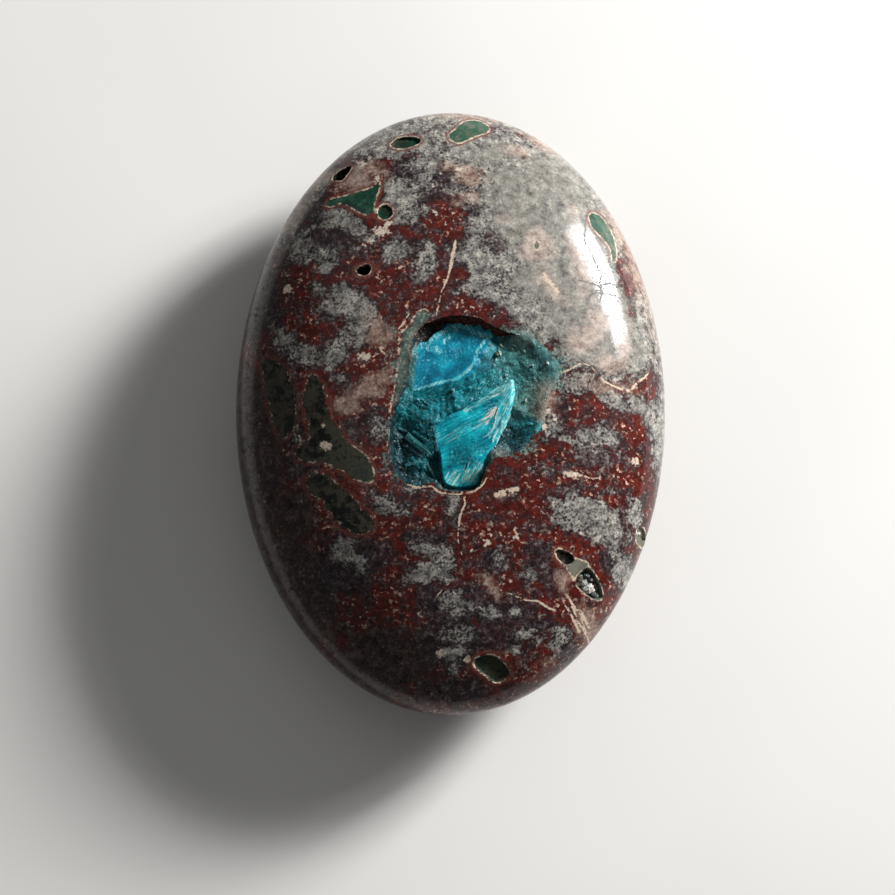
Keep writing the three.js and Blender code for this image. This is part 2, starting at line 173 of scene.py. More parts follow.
# Cavities open to the surface: tone, outline, depth and how much of the bowl is a flat floor.
PITS = [
    ((0.42, 0.62), [
        (-4.9, 21.6), (-4.4, 22.1), (-3.6, 22.25), (-2.7, 22.1), (-2.45, 21.7), (-3, 21.3),
        (-3.8, 21.1), (-4.6, 21.2),
    ], 0.25, 0.92),
    # Tone 0 paints this hole black: painted shade.
    (0, [
        (-9.7, 18.7), (-9.3, 19.35), (-8.3, 19.8), (-8.1, 19.6), (-8.5, 18.95), (-8.9, 18.5),
    ], 0.9, 0.3),
    ((0.8, 0.5), [
        (-5.95, 15.4), (-5.65, 15.9), (-5.1, 15.95), (-4.7, 15.5), (-4.75, 14.95), (-5.25, 14.65),
        (-5.8, 14.85),
    ], 0.16, 0.94),
    # Tone 0 paints this hole black: painted shade.
    (0, [
        (-7.65, 10.4), (-7.25, 10.7), (-6.6, 10.85), (-6.4, 10.6), (-6.5, 10.15), (-6.9, 9.9),
        (-7.5, 10.1),
    ], 1, 0.2),
    ((0.44, 0.36), [
        (1.8, -21.2), (2.2, -20.8), (2.9, -20.6), (3.6, -20.7), (4.1, -21.05), (4.6, -21.45),
        (4.75, -21.8), (4.5, -22.3), (3.9, -22.7), (3.45, -22.7), (2.9, -22.3), (2.2, -21.8),
    ], 0.26, 0.92),
    (0.12, [
        (8.35, -12.5), (8.6, -12.3), (9.2, -12.4), (9.75, -12.75), (9.95, -13.1), (9.6, -13.45),
        (9.2, -13.5), (8.6, -13.1),
    ], 0.22, 0.85),
    (1.35, [
        (10.45, -13.95), (11, -13.6), (11.45, -13.9), (11.85, -14.5), (12.2, -15.3), (12.2, -15.9),
        (11.7, -16.1), (11.1, -15.85), (10.6, -15.5), (10.15, -15.1), (10.05, -14.5),
    ], 0.6, 0.8),
    (1.45, [
        (15.2, -10), (15.6, -10), (15.85, -10.5), (15.8, -11.1), (15.45, -11.5), (15.1, -11.3),
        (14.95, -10.7),
    ], 0.22, 0.8),
]

# Veins and crusts of cream calcite: x, y and half the width at points along each.
VEINS = [
    [(0.44, 13, 0.04), (0.3, 12.1, 0.12), (0.05, 10.9, 0.16), (-0.05, 10.2, 0.08), (-0.3, 9.35, 0.07),
     (-0.7, 8.5, 0.05), (-0.95, 7.4, 0.05), (-1.15, 6.5, 0.07)],
    [(0.9, -7.95, 0.05), (1.2, -8.8, 0.06), (0.75, -9.85, 0.1), (0.6, -10.9, 0.05), (0.6, -11.8, 0.04),
     (0.9, -12.85, 0.03), (1, -13.5, 0.01)],
    [(1.8, -14.85, 0.01), (2.75, -15.1, 0.03), (4.35, -15.75, 0.04), (5.95, -16.35, 0.05),
     (7, -16.4, 0.07), (7.8, -16.9, 0.1), (8.6, -17.1, 0.04)],
    [(-1.7, -16.9, 0.04), (-1, -16, 0.05), (-0.2, -15.2, 0.04), (0.35, -14.7, 0.02)],
    [(8.5, 1.6, 0.05), (9.2, 2, 0.08), (9.9, 2.35, 0.06), (10.5, 2.75, 0.06), (11.2, 2.6, 0.04),
     (11.9, 1.9, 0.03)],
    [(11.8, 1.9, 0.03), (12.5, 1.3, 0.07), (13.3, 1, 0.09), (13.9, 0.8, 0.1), (14.5, 0.82, 0.12),
     (14.95, 1.35, 0.1), (15.5, 1.9, 0.08), (16, 2.4, 0.07), (16.3, 3.1, 0.03)],
    [(7.5, 10.1, 0.08), (7.9, 9.5, 0.22), (8.4, 8.9, 0.2), (8.9, 8.3, 0.08)],
    [(9.3, -6.3, 0.16), (9.9, -6.45, 0.2), (10.5, -6.35, 0.06), (11.3, -6.6, 0.05), (12.2, -6.4, 0.03)],
    [(9.4, -16, 0.09), (9.9, -16.7, 0.12), (10.4, -17.5, 0.05)],
    [(9, -16.3, 0.05), (9.7, -17.4, 0.09), (10.3, -18.6, 0.06)],
    [(10.1, -16.4, 0.07), (10.6, -17.3, 0.13), (11.2, -18.2, 0.08)],
    [(10.2, -17.8, 0.07), (10.8, -18.5, 0.1), (11.2, -19.2, 0.06)],
    [(3.85, -8.1, 0.2), (4.5, -7.9, 0.26), (5.15, -7.7, 0.18)],
    [(-4.35, 1.3, 0.03), (-4.55, 0.2, 0.06), (-4.75, -0.9, 0.08), (-5, -2.4, 0.04), (-5.05, -4.2, 0.06),
     (-4.7, -5.9, 0.04)],
    [(-3.9, -7.2, 0.05), (-2.7, -7.55, 0.1), (-1.5, -7.45, 0.07), (-0.9, -7.95, 0.08),
     (0.5, -8.1, 0.06), (1.9, -7.9, 0.08), (2.7, -7.2, 0.07), (3, -6.3, 0.03)],
    [(-4.3, 5.2, 0.05), (-3.7, 5.9, 0.12), (-3.3, 6.6, 0.04)],
    [(-5.9, 3.9, 0.03), (-5.3, 3.3, 0.07), (-4.8, 2.7, 0.02)],
    [(-8.35, -4.9, 0.03), (-8.42, -5.6, 0.07), (-8.25, -6, 0.08), (-8, -6.05, 0.03)],
    [(-7.95, -4.8, 0.03), (-7.85, -5.3, 0.05)],
]

# Hairline cracks in the polish where the window is mirrored, told in the same way.
CRACKS = [
    [(11, 14.9, 0.08), (10.9, 13.2, 0.08), (11.45, 12.1, 0.1), (12.05, 10.75, 0.1), (12.9, 10.25, 0.06)],
    [(10.5, 9.7, 0.06), (11.85, 9.4, 0.1), (13, 9.7, 0.12), (13.7, 9.4, 0.08)],
    [(11.2, 8.5, 0.06), (12, 8.8, 0.1), (13.15, 8.7, 0.08)],
    [(12.2, 10.2, 0.06), (12, 9.5, 0.09), (12.3, 8.8, 0.09), (12.1, 8, 0.05)],
]

# Patches of the mottling by kind: middle x, y, half sizes and, where it isn't 0, turn in degrees.
PATCHES = {
    "grey": [
        (7.8, 12.5, 6.4, 8.8, 8), (3, 20.6, 4.4, 2.2, 8), (9.5, 6.8, 4.6, 3.2, -20),
        (11.4, 4.4, 4.3, 2.2), (15, 4.4, 1.5, 2.7), (3.9, 9.2, 3.2, 1.6), (2.6, 11.6, 2.3, 1.7),
        (2.9, 15.9, 1.5, 2.6), (2.4, 8.6, 2, 0.8), (2, 24.2, 7, 1.3, -4), (9.3, 21.6, 4.2, 1.3, -38),
        (13.8, 16.4, 4, 1.2, -60), (17, 8, 1.2, 5), (17.3, -1, 0.9, 6), (-6.2, 22.8, 3.5, 1.2, 20),
        (-3.6, 22.1, 4.6, 1.7, 10), (-1.3, 20.6, 1.6, 1), (-2, 19.2, 1.7, 1.2), (-4, 16.5, 1.6, 2.2),
        (-3.2, 15.3, 1.3, 1), (-2.2, 17.6, 1.2, 0.8), (-8.9, 14.8, 2, 1.1, -20), (-7.2, 13.9, 0.9, 0.6),
        (-12.3, 13.2, 1.3, 1.2), (-4.2, 12.2, 1.1, 0.8), (0.7, 17.2, 1, 0.7), (0.9, 11.7, 1, 1),
        (1.7, 10.6, 0.9, 1.6), (1.6, 16.2, 0.9, 0.9), (13.7, -13.3, 0.9, 0.9), (-8.2, 8.2, 1.7, 0.9),
        (-12.4, -3, 0.8, 0.7), (12.8, 2.8, 2.2, 1, -8), (13, 1.9, 1.2, 0.5), (-10.9, 14.6, 0.5, 0.4),
        (-10.6, 12.1, 2.3, 0.9), (-10.1, 10.9, 1, 0.6), (-7.8, 12.2, 1, 0.5, -10), (-6.5, 13, 0.7, 0.5),
        (-4.6, 11.6, 1.2, 0.5, 25), (-2, 10.9, 1.1, 1.9, -15), (-10.7, 9, 0.45, 0.7),
        (-8.3, 7.4, 2.2, 1), (-7.4, 6.4, 1.6, 1.5), (-9.9, 7.5, 1.2, 0.6), (-2.3, 6.4, 0.9, 0.5),
        (-7.8, 5, 1.5, 1.3), (-9.3, 3.4, 1.3, 1.3), (-11.8, 3.6, 1.6, 0.9, -8), (-13.6, 5, 0.9, 0.9),
        (-8.7, 1.3, 0.8, 0.5, -20), (-5.8, -3, 0.8, 1.2), (-5, -5.4, 0.4, 0.8, -20),
        (-5.1, -8.8, 1.5, 0.9, -25), (-3.2, -7.7, 0.6, 0.35), (-8.3, -12.5, 0.9, 1.3, 30),
        (-7, -13.4, 0.7, 0.9), (-1.9, -14.2, 1.9, 1, 25), (-0.5, -13.5, 1.1, 1.7),
        (-2, -12.3, 1.1, 0.6, -20), (0, -9.3, 0.5, 0.9), (3.8, -13.1, 0.7, 0.8), (6.1, -14.6, 0.8, 0.7),
        (0.4, -16.8, 1.4, 1.2), (3, -17.3, 0.9, 0.7), (5, -17.4, 0.55, 0.45), (0.6, -19.1, 1.6, 0.9),
        (0.2, -20.6, 1, 0.8), (0.5, -21.8, 0.5, 0.7), (6.2, -19, 1.2, 0.5, -5), (5.4, -20.2, 0.5, 0.6),
        (8.9, -18.9, 0.9, 0.8), (8.4, -20, 0.4, 0.5), (13.9, -13.6, 0.9, 1.2, 25),
        (10.9, -9.6, 3.1, 1.9, -12), (12.9, -10.6, 1.3, 1.8), (14.9, -8.7, 0.8, 1.1),
        (9.9, -7.4, 1.1, 0.4), (12.8, -7.2, 0.4, 0.4), (11.9, -3.1, 1.8, 1), (8.1, -2.5, 0.7, 1.4, 15),
        (9.4, -3.4, 1.2, 0.5, -10), (11.3, -4.7, 1.8, 0.9), (13.6, -4.5, 0.5, 0.4),
        (15, -0.5, 1.9, 0.9, 5), (16.4, -1.5, 0.7, 2.2), (16.7, -4, 0.5, 1.8), (10.3, 1.1, 2, 0.9, -8),
        (8.6, 0.9, 0.6, 0.6), (15.9, 7, 1.1, 3.2), (7.3, -6.1, 0.8, 0.3), (0.4, 18.4, 0.6, 0.5),
        (-1, 17.6, 0.7, 0.5), (13, 0.2, 1.5, 0.6), (-7, 19.7, 0.8, 0.5, 20), (9.2, 0.2, 0.7, 0.5),
        (-12.7, 15.6, 0.8, 2.8, -38), (-10.3, 18.9, 0.7, 1.6, -45),
    ],
    "dark": [
        (3.5, 12.7, 1.2, 0.7, -20), (1.9, 15.3, 0.5, 0.6), (-0.4, 19.1, 0.4, 0.8),
        (0.6, 17.4, 0.7, 0.4), (4.2, 21.3, 0.35, 0.2), (8.9, 17.7, 0.75, 0.15, -48),
        (5.1, 16.7, 0.35, 0.2), (5.9, 9.4, 0.7, 0.4), (14.7, 5.6, 0.5, 0.22, -42),
        (11.2, -5, 1.6, 0.75), (-3.1, 18.3, 0.8, 0.45, 45), (-10.2, 15.4, 0.5, 0.35),
        (7.6, -14.7, 0.8, 0.9), (5.1, -13.5, 0.6, 0.5), (1.3, -18.2, 1.7, 0.35), (4.4, -18.8, 1, 0.4),
        (2.6, -13.1, 0.6, 0.5), (12.9, -11.4, 0.6, 0.5), (9.8, -7.2, 1, 0.3), (-8.1, 0.6, 1, 0.5, 20),
        (-1.9, -11.2, 1.6, 0.6, -15), (0.1, -10.9, 0.4, 1.1), (-9.9, 12.6, 1.6, 0.3),
        (-4.2, -21.6, 1, 1), (7, -12.8, 0.8, 0.5), (6.5, -10.7, 0.8, 0.4), (-8.8, -13.8, 0.9, 0.8),
        (8.8, -1, 0.6, 0.5), (7.3, -14.5, 0.7, 0.6),
    ],
    "tan": [
        (12.6, 2.9, 1.3, 0.7, -8), (10.4, 4.4, 1.3, 0.8, 20), (12, 6.4, 0.9, 1.3, 20),
        (7.7, -0.5, 0.8, 1.3), (14.2, 4.6, 0.6, 1.2, 10), (0.2, 19.2, 0.7, 0.4),
        (-6.5, 19.4, 1.2, 0.5, 15), (12.6, 0.9, 1.6, 0.5, -5), (-6.7, 0.3, 2.6, 0.75, 37),
        (-8.2, -0.8, 1.1, 0.7, 10), (-5.9, 5.4, 0.7, 1.2, 15), (-5.1, 4.5, 0.6, 0.9, -30),
        (-7.7, 18.3, 1.4, 0.8, 15), (-5.7, 18.9, 0.9, 0.5, -20), (3.3, -15.2, 1, 0.5, -50),
        (9, -14.9, 0.45, 0.8, 10), (10.9, -17.8, 0.8, 1.2, 20), (5.4, 20.8, 1, 0.5, -15),
        (1.3, 18.6, 1.3, 0.9, -25), (1.2, 16.3, 0.7, 0.4), (7.05, 12.5, 1.35, 1.3),
        (8.1, 9, 1.3, 0.6, -50), (13.9, 14.3, 0.7, 2.6, 30), (15.2, 10.8, 0.6, 2.4, 12),
        (8, 22.4, 2.4, 0.9, -30), (7.9, -20.9, 0.6, 0.4, 30), (11.2, 5, 1.3, 0.8),
        # The first patch below, left of the highlight, is a painted sheen. The long patches along the
        # upper right rim, from (2.5, 24.6) round to (16.6, 9.5), are pinkish tan that is partly a
        # painted reflection.
        (10.4, 12, 0.8, 3.6, 8), (-13, 15.9, 0.6, 1.8, -38), (-10.9, 18.9, 0.6, 1.2, -45),
        (4.6, 14.6, 0.6, 0.3), (2.5, 24.6, 4.5, 0.7, -4), (9.9, 21.8, 3.5, 0.8, -38),
        (14.5, 16, 4, 0.7, -60), (16.6, 9.5, 0.7, 3.5, 5),
    ],
    "mauve": [
        (-15.9, -4.5, 2.4, 8.6, 8), (-12.4, -15, 2.9, 5.4, 30), (-6, -21.4, 5, 2.9, 15),
        (-12.4, -9.4, 1.8, 2.2), (-16, 7.5, 1.1, 3.2),
    ],
    "pale": [
        (-6.9, 18.7, 1.7, 1, 10), (8.8, 14, 4.2, 6.8, 10), (11.3, 6.2, 4.2, 4.2),
        (9, 19, 3.4, 2.4, -40), (15.2, 4, 1.3, 2.6), (15.4, -0.6, 1.6, 0.9), (5, 17.6, 2.4, 2.4),
        (3.4, 20.6, 3, 1.4, 8), (5.4, 14.8, 2.2, 2.6), (7.4, 9.6, 2.6, 2.2),
    ],
    # Where the druse's grey-teal runs out over the polish.
    "stain": [
        (7.8, 1.4, 1.4, 2.1, -25), (6.9, -1.4, 0.9, 1.6), (5.6, -4.5, 1.2, 0.5, 30),
        (6.2, 4.2, 2.2, 0.8, -30), (-4, 1, 0.5, 4.4, 8), (-4.6, -4.2, 0.5, 2.4),
    ],
    # Ground that is dark purple-brown instead of red.
    "murky": [
        (3.2, -13.4, 2.4, 0.9), (6.9, -12.9, 1.3, 1.3), (7.6, -14.7, 1.2, 1.1),
        (3.5, -17.2, 4.4, 1.5, -5), (3.5, -19.2, 3.2, 1.2), (0, -19.6, 2.4, 2.4),
        (6.5, -18.3, 1.8, 0.9), (9.3, -20, 1.2, 1), (0.5, -23.3, 3, 1), (2.7, -9.9, 1.9, 0.4),
        (6.6, -10.7, 1, 0.6), (-1.8, -11.6, 2, 0.9, -10), (-1.5, -16.5, 1.5, 2), (-8, -13.5, 2.6, 2.6),
        (-2.8, -8.3, 1, 0.5), (-8.2, 0.7, 1, 0.6), (-8, -3, 1.3, 1), (-10.3, 13.3, 2.3, 2.6),
        (-9.6, 15.6, 1, 0.6), (-0.7, 18.9, 1.3, 1.3), (-1.8, 21.2, 2, 1), (-5.9, -13, 1.4, 1.4),
        (1.9, -15.7, 1.2, 0.5), (2.4, 16, 1.2, 2), (13, -12.8, 1.3, 1.5), (-13.8, 1, 1.6, 4, 10),
        (-12, -5, 1.6, 1.6), (0.3, 17.9, 1.2, 1.2), (0.6, 11.4, 1.2, 2), (9, -0.9, 1, 1),
        (-6.4, -1.9, 1.3, 0.9, -20), (-3, 18.6, 2.6, 1.6, -15), (-1.8, 17, 1.6, 1),
        (-9, 14.2, 2.6, 1.4, -10), (-4.1, 12.2, 1.6, 1), (-11, 16.4, 1.3, 1.8), (-12.3, -4, 1.2, 1.2),
        (-15.2, 9, 1.4, 4, 15), (14.3, -1.6, 1, 0.5), (9.3, -5.6, 1, 0.5),
    ],
    # Grey with many black specks.
    "dotted": [
        (3.5, 12.7, 1.4, 1), (5.2, 9.3, 2, 1.4), (10.9, 0.9, 1, 0.8), (9, -9.6, 0.9, 1.5),
        (10.6, -10.4, 0.9, 0.6), (-5.1, -8.8, 1.5, 0.9, -25), (-2.2, 10.6, 0.8, 0.8),
        (-0.4, -13.6, 1.2, 1.3), (0.4, -16.8, 1.4, 1.2), (0.6, -19.1, 1.6, 0.9), (-3.4, 15.3, 0.7, 0.7),
        (3.9, -13, 0.6, 0.7), (-12, 3.5, 1.6, 0.8), (-9, 5, 1.5, 2), (8.9, -19, 0.8, 0.7),
        (12.3, -3.3, 0.7, 0.8), (1.6, 17, 1, 0.8), (-10.3, 12.2, 1.6, 0.6), (-5.8, -3, 0.7, 1.1),
        (8.1, -3.2, 0.6, 0.6),
    ],
}
# Red ground that breaks through the grey.
RED_PATCHES = [
    (8.3, 4, 0.5, 0.4), (4.9, 6.1, 1.2, 0.5, -35), (0.7, 9.9, 0.6, 0.9), (1.5, 7.1, 1.4, 0.6),
    (0, 14.2, 0.9, 1.4), (-10.1, 13.4, 1, 0.35), (14, 11.2, 0.35, 1.6, 18), (14.4, 7, 0.3, 0.4),
    (10.9, 16.2, 0.6, 0.4, -30), (11, -0.9, 1.5, 0.9), (15.3, 1.3, 0.8, 0.35, 30), (2.7, 10, 0.4, 0.3),
    (11.3, -8.1, 0.8, 0.3), (13.1, -8.4, 0.8, 0.3), (14.9, -1.4, 0.45, 0.4),
    (14.2, -2.3, 0.7, 0.3, -15), (15.1, -3.4, 1, 0.7), (-6.1, 19.1, 1, 0.5, 20),
]
WHITE_SPOTS = [
    (-10.25, -2.4, 0.22, 0.2), (-12.5, -2.4, 0.28, 0.15, 40), (-12.1, -3.3, 0.12, 0.3, 20),
    (-13.2, 9.2, 0.45, 0.42), (-7.4, 20, 0.4, 0.3, 10), (-5.9, 18.3, 0.35, 0.3),
    (-5.9, 13.6, 0.5, 0.35, -30), (-10, -4, 0.5, 0.45), (-0.8, -20.5, 0.3, 0.34),
    (0.6, 19.1, 0.32, 0.22), (-0.3, 14.2, 0.26, 0.22), (-6.9, 3.1, 0.7, 0.36, -15),
    (-5.5, -0.2, 0.2, 0.12), (10.5, -11, 0.24, 0.2), (2.9, -12, 0.35, 0.22, 20), (3.1, -11.3, 0.3, 0.2),
    (-2.3, -17.5, 0.24, 0.2), (5.2, -11.5, 0.45, 0.22, -25), (-7.2, 19.8, 0.4, 0.18),
    (-6.1, 18.5, 0.28, 0.26), (6.5, -6.1, 0.12, 0.4, 20), (14.9, -4.9, 0.34, 0.5),
    (9.9, -6.3, 0.5, 0.22, 10), (9.7, -1.1, 0.26, 0.12), (7.7, -1.35, 0.28, 0.22),
    (8.3, -1.9, 0.2, 0.3), (7.5, -2.6, 0.3, 0.3), (-5.5, 13.7, 0.6, 0.4, -25), (-5, 14.3, 0.4, 0.25),
    (-6.6, 12.7, 0.5, 0.25, 20), (0.6, 7.3, 0.14, 0.2), (1.4, 7.15, 0.12, 0.16), (2.1, 7, 0.16, 0.12),
    (2.8, 6.8, 0.16, 0.12), (-0.2, 7.3, 0.12, 0.16), (3.5, 6.5, 0.14, 0.14), (0.2, 18.1, 0.14, 0.12),
    (-0.8, 18.6, 0.14, 0.16), (-0.3, 17.2, 0.12, 0.12), (-1.2, 15.1, 0.5, 0.12, -42),
    (1.3, -21, 0.32, 0.3), (-1.4, 17.7, 0.1, 0.22), (1.6, -12.6, 0.3, 0.14, -20),
    (7.6, 18.3, 0.2, 0.14),
]

# The two cavansite crystals, counter-clockwise: x, y, z of the top edge, x, y of its foot.
SLAB = [
    (-1.1, 0.8, 13.3, -1.2, -0.4), (0.5, 1.2, 13.4, 0.7, 0.2), (1.4, 1.7, 13.4, 2.1, 0.8),
    (1.9, 2.4, 13.4, 3.1, 1.6), (2.5, 3.4, 13.3, 3.6, 2.6), (3, 4.2, 13.1, 3.9, 3.7),
    (3.3, 5.1, 12.9, 3.8, 5.1), (3.1, 5.55, 12.9, 3.3, 5.65), (2.75, 5.35, 12.8, 2.8, 5.5),
    (2.3, 6, 12.8, 2.4, 6.1), (1.9, 5.65, 12.7, 1.95, 5.8), (1.5, 6.2, 12.6, 1.5, 6.3),
    (1.1, 5.8, 12.6, 1.1, 5.95), (0.6, 6.3, 12.5, 0.5, 6.35), (0.2, 5.9, 12.5, 0.15, 6.05),
    (-0.2, 6.15, 12.5, -0.3, 6.25), (-0.6, 5.55, 12.6, -0.7, 5.7), (-1.4, 5.05, 12.8, -1.5, 5.2),
    (-1.9, 4.4, 12.8, -2, 4.6), (-2.6, 4.1, 12.8, -2.8, 4.3), (-2.9, 2, 13, -3.1, 2),
    (-3.1, 0.4, 13.1, -3.2, -0.3),
]
# A sheaf that widens away from its tip.
SHEAF = [
    (-1.2, -3.2, 12.8, -1.4, -3.2), (-0.8, -4.6, 12.7, -1, -4.7), (-0.5, -6.8, 12.5, -0.6, -6.9),
    (0.6, -7.3, 12.4, 0.6, -7.5), (2, -7.1, 12.5, 2.1, -7.2), (2.4, -6, 12.7, 2.6, -6.1),
    (2.9, -4.5, 12.8, 3.2, -4.7), (3.8, -3, 12.9, 4.1, -3.2), (4.3, -2, 13, 4.7, -2.1),
    (4.6, -1.2, 13.1, 5, -1.2), (4.85, 0, 13.3, 5.2, 0), (4.9, 0.7, 13.4, 5.2, 0.8),
    (4.85, 1.15, 13.5, 5, 1.4), (4.4, 0.85, 13.4, 4.4, 1.1), (3.2, 0.1, 13.3, 3.1, 0.4),
    (2.6, -0.35, 13.2, 2.5, -0.1), (1.9, -0.55, 13.2, 1.8, -0.4), (1, -1.1, 13.1, 0.9, -0.9),
    (0, -1.5, 13.1, -0.1, -1.3), (-0.8, -2.1, 13, -0.9, -1.9), (-1.2, -2.4, 12.9, -1.4, -2.3),
]


# ------------------------------------------------------------------ numbers
def smoothstep(low, high, x):
    t = np.clip((np.asarray(x, float) - low) / (high - low), 0, 1)
    return t * t * (3 - 2 * t)


def lerp(a, b, t):
    return a + (b - a) * t


def wave(x, y, scale, seed):
    """Smooth noise between about -1 and 1 for arrays of places."""
    return np.array([noise.noise(Vector((a * scale, b * scale, seed))) for a, b in zip(x, y)])


def closed_curve(points, step, wobble=0.0, seed=0.0):
    """A smooth closed curve through points, with a natural wobble."""
    points = np.array(points, float)
    curve = []
    for a, b, c, d in zip(*(np.roll(points, -ahead, axis=0) for ahead in (-1, 0, 1, 2))):
        for t in np.linspace(0, 1, max(1, round(np.hypot(*(c - b)) / step)), endpoint=False):
            square = 2 * a - 5 * b + 4 * c - d
            cube = 3 * b - a - 3 * c + d
            curve.append(0.5 * (2 * b + (c - a) * t + square * t ** 2 + cube * t ** 3))
    curve = np.array(curve)
    shake = [wave(*curve.T, 2.4, seed + 0.37), wave(*curve.T, 2.4, seed + 31.61)]
    return curve + wobble * np.column_stack(shake)


def along_segment(x, y, start, end):
    """How far along a segment places lie, from 0 to 1, and their distance to it."""
    (ax, ay), (bx, by) = start, end
    run = (bx - ax) ** 2 + (by - ay) ** 2
    t = np.clip(((x - ax) * (bx - ax) + (y - ay) * (by - ay)) / run, 0, 1)
    return t, np.hypot(x - lerp(ax, bx, t), y - lerp(ay, by, t))


def outline_distance(outline, x, y):
    """Distance of places to a closed outline: positive inside it."""
    nearest = np.full(np.shape(x), np.inf)
    inside = np.zeros(np.shape(x), bool)
    for (ax, ay), (bx, by) in zip(outline, np.roll(outline, -1, axis=0)):
        nearest = np.minimum(nearest, along_segment(x, y, (ax, ay), (bx, by))[1])
        if by != ay:
            inside ^= ((ay > y) != (by > y)) & (x < ax + (y - ay) * (bx - ax) / (by - ay))
    return np.where(inside, nearest, -nearest)


def inward(outline):
    """Unit vectors that point into a counter-clockwise outline."""
    along = np.roll(outline, -1, axis=0) - np.roll(outline, 1, axis=0)
    along /= np.hypot(*along.T)[:, None]
    return np.column_stack([-along[:, 1], along[:, 0]])


def counter_clockwise(outline):
    """The outline, turned round if it runs clockwise."""
    x, y = outline.T
    area = np.sum(x * np.roll(y, -1) - y * np.roll(x, -1))
    return outline if area > 0 else outline[::-1]


def hex_grid(low, high, spacing):
    """Places in staggered rows between two corners."""
    rows = np.arange(low[1], high[1], spacing * math.sqrt(0.75))
    x, y = np.meshgrid(np.arange(low[0], high[0], spacing), rows)
    x = x + np.where(np.arange(len(rows)) % 2 == 0, 0, spacing / 2)[:, None]
    return x.ravel(), y.ravel()


def net(x, y, outlines):
    """Triangles over flat places and closed outlines, whose runs stay edges. Returns the points,
    the triangles, the triangles' middles and each outline's numbers among the points."""
    loops = []
    start = len(x)
    for outline in outlines:
        loops.append(list(range(start, start + len(outline))))
        start += len(outline)
    edges = [pair for loop in loops for pair in zip(loop, np.roll(loop, -1).tolist())]
    points = [Vector(point) for point in np.concatenate([np.column_stack([x, y]), *outlines])]
    verts, _, faces, origins, _, _ = delaunay_2d_cdt(points, edges, [], 0, 1e-6)
    renamed = {source: made for made, sources in enumerate(origins) for source in sources}
    flat = np.array([vert[:] for vert in verts])
    faces = np.array(faces)
    return flat, faces, flat[faces].mean(axis=1), [[renamed[i] for i in loop] for loop in loops]


def filled(border, margin):
    """A crust's net inside a border: its points, its triangles and the border's numbers. The grid
    keeps a margin, in grid steps, from the border."""
    x, y = hex_grid(border.min(axis=0), border.max(axis=0), CRUST_SPACING)
    keep = outline_distance(border, x, y) > margin * CRUST_SPACING
    flat, triangles, middles, (loop,) = net(x[keep], y[keep], [border])
    return flat, triangles[outline_distance(border, *middles.T) > 0].tolist(), loop


def pocket_mouth(step):
    """The pocket's mouth, more ragged at its shallow right side."""
    loop = counter_clockwise(closed_curve(POCKET_MOUTH, step, MOUTH_WOBBLE, 1.0))
    share = smoothstep(3.5, 6.0, loop[:, 0])
    shake = 0.3 * wave(*loop.T, 1.4, 6.0) + 0.16 * wave(*loop.T, 3.6, 7.0)
    return loop + inward(loop) * (share * shake)[:, None]


# ------------------------------------------------------------------ the dome
PROFILE_ANGLE = np.linspace(0, math.pi / 2, 2001)
PROFILE_REACH = np.sin(PROFILE_ANGLE) ** (2 / FULLNESS)
PROFILE_ARC = np.concatenate([[0], np.cumsum(np.hypot(
    np.diff(PROFILE_REACH) * (HALF_WIDTH + HALF_LENGTH) / 2,
    np.diff(CROWN * np.cos(PROFILE_ANGLE)),
))])
PROFILE_ARC /= PROFILE_ARC[-1]


def dome(x, y):
    """Height of the polished dome."""
    reach = np.hypot(x / HALF_WIDTH, y / HALF_LENGTH)
    return GIRDLE + CROWN * np.sqrt(np.maximum(0, 1 - reach ** FULLNESS))


def charted(points):
    """Places on a flat map of the dome that keeps distances along its slope nearly true."""
    x, y = np.transpose(points)
    reach = np.maximum(np.hypot(x / HALF_WIDTH, y / HALF_LENGTH), 1e-9)
    stretch = np.interp(reach, PROFILE_REACH, PROFILE_ARC) / reach
    return np.column_stack([x * stretch, y * stretch])


def from_chart(u, v):
    """Points on the dome for places on its flat map."""
    arc = np.maximum(np.hypot(u / HALF_WIDTH, v / HALF_LENGTH), 1e-9)
    shrink = np.interp(arc, PROFILE_ARC, PROFILE_REACH) / arc
    angle = np.interp(arc, PROFILE_ARC, PROFILE_ANGLE)
    return np.column_stack([u * shrink, v * shrink, GIRDLE + CROWN * np.cos(angle)])


def dome_normal(x, y):
    step = 0.01
    slope_x = (dome(x + step, y) - dome(x - step, y)) / (2 * step)
    slope_y = (dome(x, y + step) - dome(x, y - step)) / (2 * step)
    return Vector((-slope_x, -slope_y, 1)).normalized()


# ------------------------------------------------------------------ meshes and pieces
def ring_faces(upper, lower):
    """Quads between two closed rings of point numbers."""
    corners = zip(upper, lower, lower[1:] + lower[:1], upper[1:] + upper[:1])
    return [list(face) for face in corners]


def fan_faces(ring, tip):
    """Triangles from a closed ring of point numbers to one more point."""
    return [[ring[i], ring[i - 1], tip] for i in range(len(ring))]


def closed_crust(top, faces, loop, skirt, bottom):
    """Points and faces of a crust that a skirt below its border and a bottom point close."""
    lower = list(range(len(top), len(top) + len(loop)))
    faces = faces + ring_faces(loop, lower) + fan_faces(lower, lower[-1] + 1)
    return np.concatenate([top, skirt, [bottom]]), faces


def add_object(name, data):
    made = bpy.data.objects.new(name, data)
    bpy.context.collection.objects.link(made)
    return made


